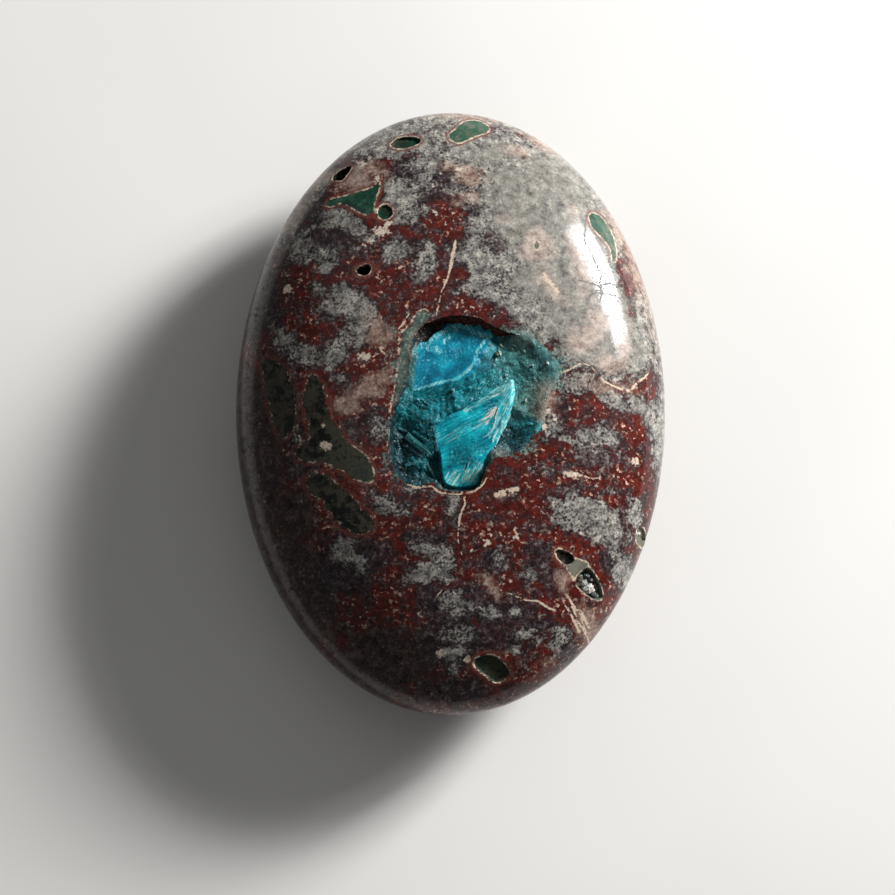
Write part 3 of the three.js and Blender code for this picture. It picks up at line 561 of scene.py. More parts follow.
class Body:
    """A mesh in the making: its points, its faces and the named numbers of its points."""

    def __init__(self):
        self.points = np.empty((0, 3))
        self.faces = []
        self.numbers = {}

    def add(self, points, faces=(), **numbers):
        """Adds points, the faces between them and their numbers, where one may stand for all.
        Returns where the points are in the mesh."""
        places = list(range(len(self.points), len(self.points) + len(points)))
        self.points = np.concatenate([self.points, points])
        self.faces += [[places[i] for i in face] for face in faces]
        for name, value in numbers.items():
            shape = (len(points), 3) if name == "shade" else len(points)
            self.numbers.setdefault(name, []).append(np.broadcast_to(value, shape))
        return places

    def add_hollow(self, upper, rings, bottom, wall=0):
        """Walls from a ring of the mesh through rings of points and their depths to a bottom."""
        for points, depth in rings:
            lower = self.add(points, depth=depth, pocket_wall=wall)
            self.faces += ring_faces(upper, lower)
            upper = lower
        (tip,) = self.add([bottom], depth=depth, pocket_wall=np.min(wall))
        self.faces += fan_faces(upper, tip)

    def piece(self, name, material, slot, nodes=(), sharp=None):
        """The finished mesh as an object that rides on the root body. sharp is its crease angle
        in degrees."""
        mesh = bpy.data.meshes.new(name)
        mesh.from_pydata((self.points * MM).tolist(), [], self.faces)
        for label, values in self.numbers.items():
            values = np.concatenate(values).astype(np.float32)
            if values.ndim == 1:
                mesh.attributes.new(label, "FLOAT", "POINT").data.foreach_set("value", values)
            else:
                colour = mesh.attributes.new(label, "FLOAT_COLOR", "POINT")
                colour.data.foreach_set("color", np.insert(values, 3, 1, axis=1).ravel())
        shape = bmesh.new()
        shape.from_mesh(mesh)
        bmesh.ops.recalc_face_normals(shape, faces=shape.faces)
        shape.to_mesh(mesh)
        shape.free()
        if sharp is not None:
            mesh.shade_smooth()
            mesh.set_sharp_from_angle(angle=math.radians(sharp))
        mesh.materials.append(material)
        piece = add_object(name, mesh)
        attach(piece, "root")
        if nodes:
            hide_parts(*nodes)
        return piece


# ------------------------------------------------------------------ shader nodes
# Numbers of the Mix node's colour sockets, whose names its other sockets have too.
MIX_START = 6
MIX_END = 7
MIX_RESULT = 2


def linear(*shade):
    """A colour of 0 to 255 screen values as linear light."""
    shares = np.array(shade) / 255
    return np.where(shares <= 0.04045, shares / 12.92, ((shares + 0.055) / 1.055) ** 2.4)


class Value:
    """A node's output. Arithmetic with it adds math nodes to its shader."""

    def __init__(self, shader, socket):
        self.shader = shader
        self.socket = socket

    def __add__(self, other):
        return self.shader.math("ADD", self, other)

    def __sub__(self, other):
        return self.shader.math("SUBTRACT", self, other)

    def __rsub__(self, other):
        return self.shader.math("SUBTRACT", other, self)

    def __mul__(self, other):
        return self.shader.math("MULTIPLY", self, other)

    def __abs__(self):
        return self.shader.math("ABSOLUTE", self)

    def varied(self, noise, amount):
        """This value, pushed up or down where a noise is above or below its middle."""
        return self.shader.math("MULTIPLY_ADD", noise - 0.5, amount, self)

    def step(self, low, high):
        """0 below low, 1 above high, smooth between."""
        inputs = {"Value": self, "From Min": low, "From Max": high}
        return self.shader.node("MapRange", inputs, interpolation_type="SMOOTHSTEP")

    def ramp(self, *stops):
        """Colours blended by this value. A stop is a position, red, green and blue."""
        made = self.shader.node("ValToRGB", {"Fac": self})
        elements = made.socket.node.color_ramp.elements
        for number, (position, *shade) in enumerate(stops):
            element = elements[number] if number < 2 else elements.new(position)
            element.position = position
            element.color = (*linear(*shade), 1)
        return made


class Shader:
    """A material's node tree, with short calls for the nodes that the materials share."""

    def __init__(self, name):
        self.material = bpy.data.materials.new(name)
        self.material.use_nodes = True
        self.tree = self.material.node_tree
        self.tree.nodes.clear()
        output = self.tree.nodes.new("ShaderNodeOutputMaterial")
        self.surface = self.tree.nodes.new("ShaderNodeBsdfPrincipled")
        self.tree.links.new(self.surface.outputs[0], output.inputs["Surface"])
        metres = self.node("TexCoord", output="Object")
        self.place = self.scaled(metres, 1 / MM)
        self.colour = None

    def put(self, socket, value):
        """Links another node's output to a socket, or sets the socket's value."""
        if isinstance(value, Value):
            self.tree.links.new(value.socket, socket)
        else:
            socket.default_value = value

    def node(self, kind, inputs=(), output=0, **settings):
        """Adds a node and returns one of its outputs."""
        made = self.tree.nodes.new("ShaderNode" + kind)
        for key, value in settings.items():
            setattr(made, key, value)
        for key, value in dict(inputs).items():
            self.put(made.inputs[key], value)
        return Value(self, made.outputs[output])

    def attribute(self, name, output="Fac"):
        return self.node("Attribute", output=output, attribute_name=name)

    def math(self, operation, *values, clamp=False):
        return self.node("Math", enumerate(values), operation=operation, use_clamp=clamp)

    def highest(self, a, b):
        return self.math("MAXIMUM", a, b)

    def scaled(self, vector, scale):
        return self.node("VectorMath", {0: vector, "Scale": scale}, operation="SCALE")

    def mix(self, share, start, end):
        """One colour or tint turning into another as share goes from 0 to 1."""
        inputs = {"Factor": share}
        for socket, colour in ((MIX_START, start), (MIX_END, end)):
            inputs[socket] = (*linear(*colour), 1) if isinstance(colour, tuple) else colour
        return self.node("Mix", inputs, MIX_RESULT, data_type="RGBA")

    def paint(self, share, colour):
        """Lays a colour over what is painted so far, where share is 1."""
        self.colour = self.mix(share, self.colour, colour)

    def noise(self, scale, detail=2.0, roughness=0.5, vector=None, output="Fac"):
        inputs = {"Vector": vector or self.place, "Scale": scale}
        inputs.update({"Detail": detail, "Roughness": roughness})
        return self.node("TexNoise", inputs, output)

    def warped(self, scale, amount):
        """Millimetre coordinates pushed about by noise."""
        inputs = {0: self.noise(scale, output="Color"), 1: (0.5, 0.5, 0.5)}
        shift = self.scaled(self.node("VectorMath", inputs, operation="SUBTRACT"), amount)
        return self.node("VectorMath", {0: shift, 1: self.place}, operation="ADD")

    def bump(self, height, distance, strength):
        inputs = {"Height": height, "Distance": distance * MM, "Strength": strength}
        return self.node("Bump", inputs)

    def finish(self, inputs):
        """Sets the surface's colour and its other inputs."""
        for name, value in {"Base Color": self.colour, **inputs}.items():
            self.put(self.surface.inputs[name], value)
        return self.material


# ------------------------------------------------------------------ basalt
class Basalt(Shader):
    """The stone's material. Its layers are painted from the ground up."""

    def __init__(self):
        super().__init__("polished_basalt")
        self.warp = self.warped(1.1, 0.7)
        self.ragged = self.noise(1.1, 4.0, 0.66, self.warp)
        self.fine = self.noise(4.0, 3.0, 0.68)
        self.soft_grains = self.noise(3.0, 2.5, 0.6)
        self.grain = self.noise(5.4, 2.0, 0.6)
        self.pepper = self.noise(4.4, 1.5, 0.5)
        self.mottle = self.noise(1.5, 4.0, 0.66)
        self.purple = self.mottle.varied(self.grain, 0.8).ramp(
            (0.30, 15, 12, 14), (0.48, 38, 31, 34), (0.62, 66, 57, 60), (0.76, 100, 92, 90))
        self.shift = ((self.ragged - 0.5) * 2.6).varied(self.fine, 1.3)

    def zone(self, name, low, high, share=1.0):
        """How far a place lies inside a kind of patch, with a ragged edge."""
        return (self.attribute(name) + self.shift * share).step(low, high)

    def paint_ground(self):
        """Red ground with pale flecks and dark shadows."""
        self.colour = self.noise(1.9, 4.0, 0.7).ramp(
            (0.28, 32, 9, 8), (0.46, 66, 18, 13), (0.60, 92, 26, 18), (0.76, 116, 42, 31))
        blobs = self.soft_grains.step(0.55, 0.67) * self.noise(0.8, 3.0, 0.62).step(0.44, 0.58)
        smudges = self.noise(1.7, 3.0, 0.6).step(0.62, 0.70)
        flecks = self.fine.ramp((0.36, 136, 80, 66), (0.58, 210, 180, 158))
        self.paint(self.highest(blobs, smudges), flecks)
        self.paint(self.noise(0.85, 4.0, 0.66).step(0.48, 0.62) * 0.75, self.purple)

    def paint_patches(self):
        """The patches of the mottling, each laid over the ones before it."""
        mauve = self.ragged.varied(self.fine, 0.7).ramp(
            (0.34, 28, 18, 17), (0.50, 52, 37, 34), (0.66, 86, 69, 63))
        pale = self.mottle.varied(self.grain, 0.5).ramp(
            (0.26, 74, 71, 68), (0.42, 110, 107, 101), (0.56, 131, 128, 120), (0.76, 166, 160, 150))
        tan = self.mottle.varied(self.grain, 0.7).ramp(
            (0.30, 100, 76, 66), (0.50, 146, 123, 110), (0.70, 178, 159, 145))
        # Lighter, pinker tan where tan lies in the pale patches: partly the stone's colour, partly a
        # painted sheen beside the highlight.
        blush_and_haze = self.mottle.varied(self.grain, 0.5).ramp(
            (0.30, 126, 108, 99), (0.50, 162, 145, 135), (0.70, 186, 172, 160))
        tan = self.mix(self.attribute("pale").step(0.1, 0.7), tan, blush_and_haze)
        self.paint(self.zone("mauve", -0.3, 0.5), mauve)
        self.paint(self.zone("murky", -0.3, 0.4) * 0.85, self.purple)
        self.paint(self.zone("grey", -0.45, 0.0) * 0.8, self.purple)
        self.paint_grey()
        self.paint(self.zone("pale", -0.4, 1.2, 1.2), pale)
        self.paint(self.zone("tan", -0.45, 0.55, 0.8) * 0.85, tan)

    def paint_grey(self):
        """Grey stone with black dots, in the lit middles of the grey patches and in islands."""
        stone = self.mottle.varied(self.grain, 0.6).ramp(
            (0.24, 52, 49, 51), (0.38, 90, 87, 85), (0.52, 130, 127, 120), (0.72, 182, 177, 166))
        dots = (self.pepper + self.attribute("dotted").step(-0.5, 0.5) * -0.11).step(0.40, 0.31)
        stone = self.mix(dots * 0.82, stone, (26, 23, 24))
        cloud = self.noise(0.55, 3.0, 0.6, self.warp)
        lit = self.zone("grey", -0.2, 0.55) * (1 - self.zone("dark", -0.25, 0.35) * 0.7)
        lit = lit * (1 - cloud.step(0.52, 0.66) * 0.45)
        islands = self.noise(0.9, 4.0, 0.62).step(0.56, 0.66) * 0.36
        self.paint(self.highest(lit, islands).varied(self.pepper, 1.1).step(0.1, 0.9), stone)

    def paint_veins(self):
        """Cream veins, by their distances in half widths, and the stain where the druse runs out."""
        vein = abs(self.attribute("vein_across").varied(self.fine, 3.2)).step(1.2, 0.6)
        vein = vein * self.attribute("vein_far").step(2.2, 1.4)
        self.paint(vein * self.noise(2.3, 2.0, 0.6).step(0.34, 0.48), CREAM)
        stain = self.grain.ramp((0.34, 26, 52, 54), (0.50, 66, 98, 94), (0.66, 138, 150, 138))
        self.paint(self.zone("stain", -0.2, 0.8, 1.6) * 0.9, stain)

    def paint_band(self):
        """Chalcedony along the pocket's left rim, with a broken cream seam."""
        edge = self.attribute("band").varied(self.fine, 0.7)
        band = self.ragged.varied(self.grain, 0.5).ramp(
            (0.32, 36, 58, 55), (0.50, 76, 94, 86), (0.66, 134, 136, 120))
        self.paint(edge.step(-0.02, 0.16), band)
        seam = abs(edge + 0.06).step(0.1, 0.04) * self.noise(2.8, 2.0, 0.6).step(0.46, 0.60)
        self.paint(seam * self.attribute("mouth").step(-0.2, -0.45), CREAM)

    def paint_amygdules(self):
        """Green minerals inside a thin and broken cream rim and a reddish halo, then white spots.
        The dim amygdules are ragged."""
        tone = self.attribute("tone")
        dim = tone.step(0.4, 0.3) * tone.step(0.12, 0.16)
        edge = self.attribute("amygdule").varied(self.fine, 0.3).varied(self.ragged, dim * 1.6)
        veil = tone.varied(self.ragged, 1.3).varied(self.fine, 0.5).varied(self.mottle, 0.7)
        green = (veil * 0.7).ramp(
            (0, 8, 8, 8), (0.11, 22, 24, 19), (0.25, 60, 63, 48), (0.36, 22, 40, 33),
            (0.48, 20, 54, 42), (0.60, 36, 74, 56), (0.70, 52, 82, 66), (0.82, 84, 90, 76),
            (0.98, 110, 108, 96))
        rusty = self.ragged.step(0.46, 0.62) * tone.step(0.5, 0.3) * 0.6
        green = self.mix(rusty, green, (72, 60, 52))
        self.paint(abs(edge + 0.2).step(0.16, 0.06) * tone.step(1.1, 1.0) * 0.6, (104, 58, 48))
        self.paint(edge.step(-0.03, 0.04), green)
        beads = (self.noise(2.4, 2.0, 0.6) + dim * -0.1).step(0.38, 0.62)
        self.paint(abs(edge + 0.03).step(0.085, 0.03) * beads, CREAM)
        white = self.fine.ramp((0.36, 158, 132, 116), (0.54, 206, 192, 176))
        spots = self.attribute("white").varied(self.soft_grains, 0.9)
        self.paint(spots.step(-0.02, 0.14), white)

    def paint_walls(self, broken):
        """The unpolished walls of the pocket: mossy, and red rock at its upper end."""
        pocket = self.attribute("pocket_wall")
        rock = self.fine.ramp((0.35, 46, 22, 18), (0.52, 92, 48, 38), (0.68, 128, 82, 66))
        moss = self.fine.ramp((0.35, 5, 20, 24), (0.52, 12, 40, 45), (0.68, 34, 66, 68))
        wall = self.mix(pocket.step(1.2, 1.8), moss, rock)
        self.paint(self.math("MULTIPLY", broken, pocket, clamp=True), wall)

    def paint_cracks(self):
        """Dark cracks. Returns where they, and finer ones without a colour, break the polish."""
        crack = abs(self.attribute("crack_across").varied(self.fine, 6.0)).step(1.0, 0.6)
        crack = crack * self.attribute("crack_far").step(4.0, 2.5)
        self.paint(crack * 0.6, (70, 66, 64))
        hairline = abs(self.noise(0.7, 5.0, 0.62, self.warp) - 0.5).step(0.018, 0.005)
        return self.highest(hairline * self.noise(0.9, 2.0, 0.5).step(0.40, 0.54), crack)


def basalt_material():
    basalt = Basalt()
    basalt.paint_ground()
    basalt.paint_patches()
    basalt.paint_veins()
    basalt.paint_band()
    basalt.paint_amygdules()
    broken = basalt.attribute("depth").step(0.02, 0.12)
    basalt.paint_walls(broken)
    unpolished = basalt.highest(broken, basalt.paint_cracks() * 0.9)
    return basalt.finish({
        "Roughness": (basalt.fine - 0.5) * 0.3 + 0.34 + broken * 0.3,
        "Coat Weight": basalt.math("SUBTRACT", 0.65, unpolished, clamp=True),
        "Coat Roughness": 0.11, "Coat IOR": 1.5, "IOR": 1.5, "Specular IOR Level": 0.08,
        "Normal": basalt.bump(basalt.fine, 0.02, 0.4),
        "Coat Normal": basalt.bump(basalt.ragged, 0.03, 0.2),
    })


# ------------------------------------------------------------------ stone
def patch_distance(patches, x, y):
    """About how far places lie inside the nearest patch, or outside it where negative."""
    distance = np.full(len(x), -PATCH_REACH)
    for middle_x, middle_y, half_x, half_y, *turn in patches:
        angle = math.radians(turn[0] if turn else 0)
        along = (x - middle_x) * math.cos(angle) + (y - middle_y) * math.sin(angle)
        across = (y - middle_y) * math.cos(angle) - (x - middle_x) * math.sin(angle)
        inside = (1 - np.hypot(along / half_x, across / half_y)) * min(half_x, half_y)
        distance = np.maximum(distance, inside)
    return np.minimum(distance, PATCH_REACH)


def vein_numbers(veins, x, y):
    """Signed distance across the nearest vein and plain distance to it, in half widths."""
    across = np.full(len(x), NO_VEIN)
    far = np.full(len(x), NO_VEIN)
    for vein in veins:
        corners = charted([place[:2] for place in vein])
        halves = [half for _, _, half in vein]
        for start, end, half_a, half_b in zip(corners, corners[1:], halves, halves[1:]):
            t, distance = along_segment(x, y, start, end)
            half = lerp(half_a, half_b, t)
            run = end - start
            side = (run[0] * (y - start[1]) - run[1] * (x - start[0])) / np.hypot(*run) / half
            closer = distance / half < far
            far = np.where(closer, distance / half, far)
            across = np.where(closer, side, across)
    return across, far


def cavity_numbers(u, v):
    """Signed distance to the nearest filled or open cavity, positive inside, and its tone."""
    distance = np.full(len(u), NO_CAVITY)
    tone = np.zeros(len(u))
    for tones, points, *_ in AMYGDULES + PITS:
        outline = charted(closed_curve(points, MARKING_STEP))
        inside = outline_distance(outline, u, v)
        closer = inside > distance
        distance = np.where(closer, inside, distance)
        left, right = np.broadcast_to(tones, 2)
        rightness = smoothstep(outline[:, 0].min(), outline[:, 0].max(), u)
        tone = np.where(closer, lerp(left, right, rightness), tone)
    return distance, tone


def pocket_wall(loop, depth):
    """A ring of the pocket's wall at a depth. The wall leans in at its upper end and at the left,
    reaches a little under the rim at the upper left, and is steep elsewhere."""
    x, y = loop.T
    bare = smoothstep(4.3, 5.4, y) * smoothstep(5.2, 3.4, x) * smoothstep(-0.8, 0.6, x)
    hollow = smoothstep(4.6, 5.6, y) * smoothstep(0.6, -0.8, x)
    flank = smoothstep(-2.6, -3.4, x)
    lean = 0.02 + 0.06 * depth + 0.4 * bare * smoothstep(0, 1.4, depth)
    lean = lean - 0.1 * hollow * smoothstep(0, 0.6, depth) + 0.5 * flank * smoothstep(0, 2, depth)
    lean = lean + 0.16 * wave(x, y, 1.7, depth * 1.3) * smoothstep(0, 0.4, depth)
    sunk = LIP_SINK + depth * (1 + 0.06 * wave(x, y, 2.6, 5.0 + depth))
    return np.column_stack([loop + inward(loop) * lean[:, None], dome(x, y) - sunk])


def pit_rings(loop, depth, floor):
    """Rings and depths of a small cavity, sunk along the dome's normal, and its bottom point."""
    middle = loop.mean(axis=0)
    sink = np.array(dome_normal(*middle)) * depth
    surface = np.column_stack([loop, dome(*loop.T)])
    heart = np.array([*middle, dome(*middle)])
    rings = []
    for share in PIT_RINGS:
        bowl = math.sqrt(1 - min(share, 0.995) ** 2)
        shrink = lerp(bowl, 0.97 - 0.12 * share, floor if share < 1 else 0.25)
        rough = 1 + 0.05 * wave(*loop.T, 3.0, share * 7)
        ring = heart + (surface - heart) * (shrink * rough)[:, None]
        rings.append((ring - sink * share, depth * share))
    return rings, heart - sink


def patch_numbers(x, y, z):
    """Distances to the patches of the mottling, which bend more the further down the sides."""
    drop = np.maximum(GIRDLE - z, 0)
    bend = 0.5 + 0.35 * drop
    bent_x = x + bend * wave(x + 0.6 * drop, y, 0.5, 21.0) + 0.3 * wave(x, y, 1.2, 22.0)
    bent_y = y + bend * wave(x + 0.6 * drop, y, 0.5, 23.0) + 0.3 * wave(x, y, 1.2, 24.0)
    numbers = {
        name: patch_distance(patches, bent_x, bent_y) for name, patches in PATCHES.items()
    }
    reddened = np.maximum(0, 1.6 * (patch_distance(RED_PATCHES, bent_x, bent_y) + 0.3))
    for name in ("grey", "pale", "murky"):
        numbers[name] = numbers[name] - reddened
    underside = 0.8 * wave(x, y, 0.3, 25.0) - 0.2
    numbers["grey"] = lerp(underside, numbers["grey"], smoothstep(GIRDLE - 4.5, GIRDLE, z))
    numbers["tan"] = lerp(-PATCH_REACH, numbers["tan"], smoothstep(GIRDLE - 1.5, GIRDLE + 1, z))
    return numbers


def stone_numbers(x, y, z, mouth):
    """What the basalt's material reads at the stone's points: distances to its markings."""
    u, v = charted(np.column_stack([x, y])).T
    above = z > GIRDLE - 1e-6
    distance, tone = cavity_numbers(u, v)
    band = outline_distance(charted(closed_curve(BAND, MARKING_STEP)), u, v)
    white = patch_distance(WHITE_SPOTS, x, y)
    numbers = {"tone": tone, "white": np.where(above, white, -PATCH_REACH)}
    for name, veins in (("vein", VEINS), ("crack", CRACKS)):
        across, far = vein_numbers(veins, u, v)
        numbers[name + "_across"] = np.where(above, across, NO_VEIN)
        numbers[name + "_far"] = np.where(above, far, NO_VEIN)
    for name, inside in (
        ("amygdule", distance), ("band", band), ("mouth", outline_distance(mouth, u, v)),
    ):
        numbers[name] = np.where(above, inside, NO_CAVITY)
    return {**numbers, **patch_numbers(x, y, z)}


def add_polish(stone, girdle, holes):
    """The polished dome inside the girdle, cut by holes, the pocket's mouth first. The outlines lie
    on the dome's flat map. Returns the numbers of their points."""
    u, v = hex_grid((-HALF_WIDTH, -HALF_LENGTH), (HALF_WIDTH, HALF_LENGTH), STONE_SPACING)
    margin = GIRDLE_MARGIN * STONE_SPACING / HALF_WIDTH
    keep = np.hypot(u / HALF_WIDTH, v / HALF_LENGTH) < 1 - margin
    for hole in holes:
        keep &= outline_distance(hole, u, v) < -HOLE_MARGIN * STONE_SPACING
    flat, triangles, middles, loops = net(u[keep], v[keep], [girdle, *holes])
    solid = np.ones(len(triangles), bool)
    for hole in holes:
        solid &= outline_distance(hole, *middles.T) < 0
    surface = from_chart(*flat.T)
    surface[:, 2] -= LIP_SINK * smoothstep(LIP_WIDTH, 0, -outline_distance(holes[0], *flat.T))
    stone.add(surface, triangles[solid].tolist(), depth=0, pocket_wall=0)
    return loops


def add_belly(stone, girdle, upper):
    """The rounded belly, from the girdle's points down to the middle of the ground flat."""
    rings = []
    for angle in np.linspace(math.pi / 2, math.acos(GIRDLE / CROWN), BELLY_RINGS)[1:]:
        outline = girdle * math.sin(angle) ** (2 / FULLNESS)
        height = max(0.0, GIRDLE - CROWN * math.cos(angle))
        rings.append((np.insert(outline, 2, height, axis=1), 0))
    ground, _ = rings[-1]
    rings += [(ground * (shrink, shrink, 0), 0) for shrink in GROUND_RINGS]
    stone.add_hollow(upper, rings, (0, 0, 0))


def build_stone():
    mouth = pocket_mouth(STONE_MOUTH_STEP)
    pits = [
        counter_clockwise(closed_curve(points, PIT_STEP, PIT_WOBBLE, 2.0 + number))
        for number, (_, points, _, _) in enumerate(PITS)
    ]
    turn = np.linspace(0, 2 * math.pi, GIRDLE_POINTS, endpoint=False)
    girdle = np.column_stack([HALF_WIDTH * np.cos(turn), HALF_LENGTH * np.sin(turn)])
    holes = [charted(loop) for loop in (mouth, *pits)]
    stone = Body()
    girdle_loop, mouth_loop, *pit_loops = add_polish(stone, girdle, holes)
    red_rock = smoothstep(4.2, 5.2, mouth[:, 1]) * smoothstep(5.4, 4.6, mouth[:, 0])
    rings = [(pocket_wall(mouth, depth), depth) for depth in WALL_RINGS]
    stone.add_hollow(mouth_loop, rings, WALL_BOTTOM, 1 + red_rock)
    for (_, _, depth, floor), pit, upper in zip(PITS, pits, pit_loops):
        stone.add_hollow(upper, *pit_rings(pit, depth, floor))
    add_belly(stone, girdle, girdle_loop)
    for name, values in stone_numbers(*stone.points.T, holes[0]).items():
        stone.numbers[name] = [values]
    stone.piece("basalt_stone", basalt_material(), "basalt", ["stone"], sharp=STONE_CREASE)


# ------------------------------------------------------------------ druse
# Levels of the druse: middle x, y, reach and depth below the dome.
DRUSE_LEVELS = [
    (0.6, 0.3, 1.3, 0.8), (2.9, 1.9, 1.1, 0.85), (-2.6, -0.2, 1.1, 0.95), (-0.6, -0.9, 0.8, 1),
    (5.4, -0.4, 0.5, 0.85), (4.9, -2.2, 0.6, 1.2), (-3.3, -3.9, 1.2, 1.5), (-3.2, -6.4, 0.9, 1.8),
    (-1.4, -6.2, 0.8, 2), (-2.9, -5.5, 0.7, 1.15), (0.6, -7.7, 0.7, 2.4), (2.6, -6.9, 0.7, 2.4),
    (-2, 5.2, 0.9, 1.9), (0.8, 6.2, 0.8, 1.6), (3.9, 5, 0.6, 1.5), (-3.5, 2.4, 0.8, 1.3),
    (-1.9, -2.7, 0.8, 0.8), (-1.9, -4, 0.6, 1.1), (6, -2.5, 0.7, 0.6), (4.3, 3, 0.9, 1),
    (5.6, 3.6, 1.1, 0.7), (7.3, 2.4, 1.2, 0.45), (5.8, 1, 0.8, 0.95), (6.4, -1, 0.9, 0.6),
    (5.5, -3, 0.9, 1.2), (4.3, -4.4, 0.7, 1.3), (6.9, 0.6, 0.8, 0.5),
]
# The druse's rim, by places on the mouth: how far below the polish it starts.
RIM_LEVELS = [
    (8.2, 2, 2.2, 0.05), (7.2, -1.2, 1.6, 0.05), (6, -4, 1.2, 0.1), (6.2, 4.6, 1.2, 0.07),
    (3.8, -5.1, 1, 0.5), (0.5, 6.4, 2.4, 1.7), (3.6, 5.4, 0.9, 1.2), (-4, 0, 1.4, 0.5),
    (-4.8, -3.4, 1.8, 1.1), (-2.6, 5.2, 1, 0.7), (-3.4, 2.6, 1.4, 0.15), (-2.8, -7.2, 2, 1.3),
    (1, -7.8, 1.6, 1.2), (2.8, -6.4, 0.9, 1.2),
]
# Tints of the druse: middle x, y, reach and tint. The nearly black tints at the bottom of the pocket's
# lower left, round (-4.5, -5), are painted shade over the druse's dark teal.
DRUSE_TINTS = [
    (0, 0.6, 2, (6, 124, 136)), (2.8, 1.8, 1.4, (12, 120, 130)), (-2, -3.6, 1.3, (8, 84, 94)),
    (-3.2, -1.2, 1.5, (10, 104, 112)), (-4.7, -3.4, 1, (2, 16, 22)), (-4.3, -6.2, 1, (2, 14, 20)),
    (-2.8, -5.5, 0.9, (18, 104, 112)), (-3.6, -4.3, 0.8, (5, 52, 60)), (-3.6, 2.4, 1.1, (40, 88, 86)),
    (5.2, 2.6, 1.7, (58, 120, 118)), (-4, 0.6, 0.8, (40, 96, 98)), (-2.9, -6.9, 1, (6, 44, 52)),
    (3.8, 3.4, 0.9, (60, 122, 122)), (4.4, 1.2, 1, (30, 106, 112)), (7.4, 2.4, 1.2, (66, 112, 112)),
    (6.1, -0.5, 1, (84, 132, 124)), (6, -2.5, 0.7, (36, 146, 154)), (5.2, -3.6, 1.1, (30, 72, 82)),
    (7.5, 0.2, 0.9, (128, 120, 110)), (7.1, -1.1, 0.7, (140, 122, 110)), (0.8, 6.1, 1.2, (86, 52, 42)),
    (-2.2, 5.6, 1, (54, 46, 38)), (5.6, 4.4, 0.9, (104, 126, 118)), (0, -7.6, 1, (36, 72, 74)),
    (4.4, -4.8, 0.6, (104, 106, 100)),
]
# Long blades in the pocket: both ends x, y, their width, lift above the crust and tint.
LONG_BLADES = [
    ((-3.5, -3.2), (-1.5, -4.8), 0.66, 0.34, (46, 124, 126)),
    ((-3, -2.9), (-1.4, -4), 0.3, 0.28, (12, 84, 90)),
    ((-3.7, -3.9), (-2.2, -5), 0.34, 0.2, (8, 58, 66)),
    ((-3.2, -5), (-2.5, -5.9), 0.5, 0.24, (24, 112, 120)),
    ((-3.6, -5.6), (-2.5, -5.3), 0.26, 0.26, (60, 140, 146)),
    ((-4.2, -2.6), (-3.3, -2.9), 0.2, 0.05, (16, 80, 88)),
    ((-2.4, -0.2), (-1.6, -0.9), 0.2, 0.05, (10, 110, 120)),
    ((2, 0.4), (2.6, 1.3), 0.2, 0.05, (20, 130, 140)),
    ((2.4, 0.2), (3, 1.1), 0.18, 0.05, (40, 146, 152)),
    ((-1.9, -5.4), (-1.2, -6.6), 0.24, 0.05, (10, 70, 78)),
    ((4.6, 4.5), (6.4, 4.6), 0.12, 0.05, (150, 160, 150)),
    ((5.2, -3.2), (5.7, -2.5), 0.26, 0.05, (60, 110, 116)),
    ((5.6, -4.2), (6.2, -3.9), 0.22, 0.05, (66, 104, 104)),
    ((5.7, -2.6), (6.5, -2.2), 0.4, 0.08, (50, 150, 156)),
]
# Pale grains on the druse: x, y, size and tint. Those at (6, -0.4), (6.6, 2.5) and (7.75, 2.6) are
# painted glints.
PALE_GRAINS_AND_GLINTS = [
    (3.85, 3.5, 0.26, (190, 200, 178)), (4.05, 4.15, 0.16, (176, 186, 164)),
    (6, -0.4, 0.15, (236, 240, 236)), (-3.3, -3.1, 0.12, (230, 240, 240)),
    (0.2, 0.3, 0.18, (120, 190, 190)), (7.75, 2.6, 0.16, (200, 214, 212)),
    (6.6, 2.5, 0.14, (196, 210, 210)), (4.5, 1.7, 0.12, (190, 210, 208)),
    (-2.6, -0.4, 0.14, (140, 190, 190)), (5.9, 3.6, 0.13, (150, 178, 172)),
]


def blended(places, x, y):
    """A smooth blend of the values at some places."""
    weight = 0.0
    total = 0.0
    for middle_x, middle_y, reach, *value in places:
        near = np.exp(-((x - middle_x) ** 2 + (y - middle_y) ** 2) / reach ** 2) + 1e-7
        weight = weight + near
        total = total + near[:, None] * np.array(value)
    return total / weight[:, None]


def druse_colour(x, y):
    """Linear colour of the druse at places."""
    return blended([(*place, *linear(*shade)) for *place, shade in DRUSE_TINTS], x, y)


def druse_depth(x, y):
    """Depth of the druse below the dome."""
    distance = outline_distance(np.array(POCKET_MOUTH), x, y)
    floor = blended(DRUSE_LEVELS, x, y)[:, 0]
    edge = blended(RIM_LEVELS, x, y)[:, 0]
    return edge + (floor - edge) * smoothstep(-0.1, 1.3, distance)


def druse_lumps(x, y, depth):
    """How far the crust swells up, less where it thins out at its rim."""
    swell = 0.14 * wave(x, y, 1.2, 3.0) + 0.06 * wave(x, y, 3.0, 8.0)
    return swell * smoothstep(0.0, 0.8, depth)


def footprint_distance(crystal, x, y):
    """Distance of places to the foot of a cavansite crystal: positive inside it."""
    return outline_distance(np.array(crystal)[:, 3:], x, y)


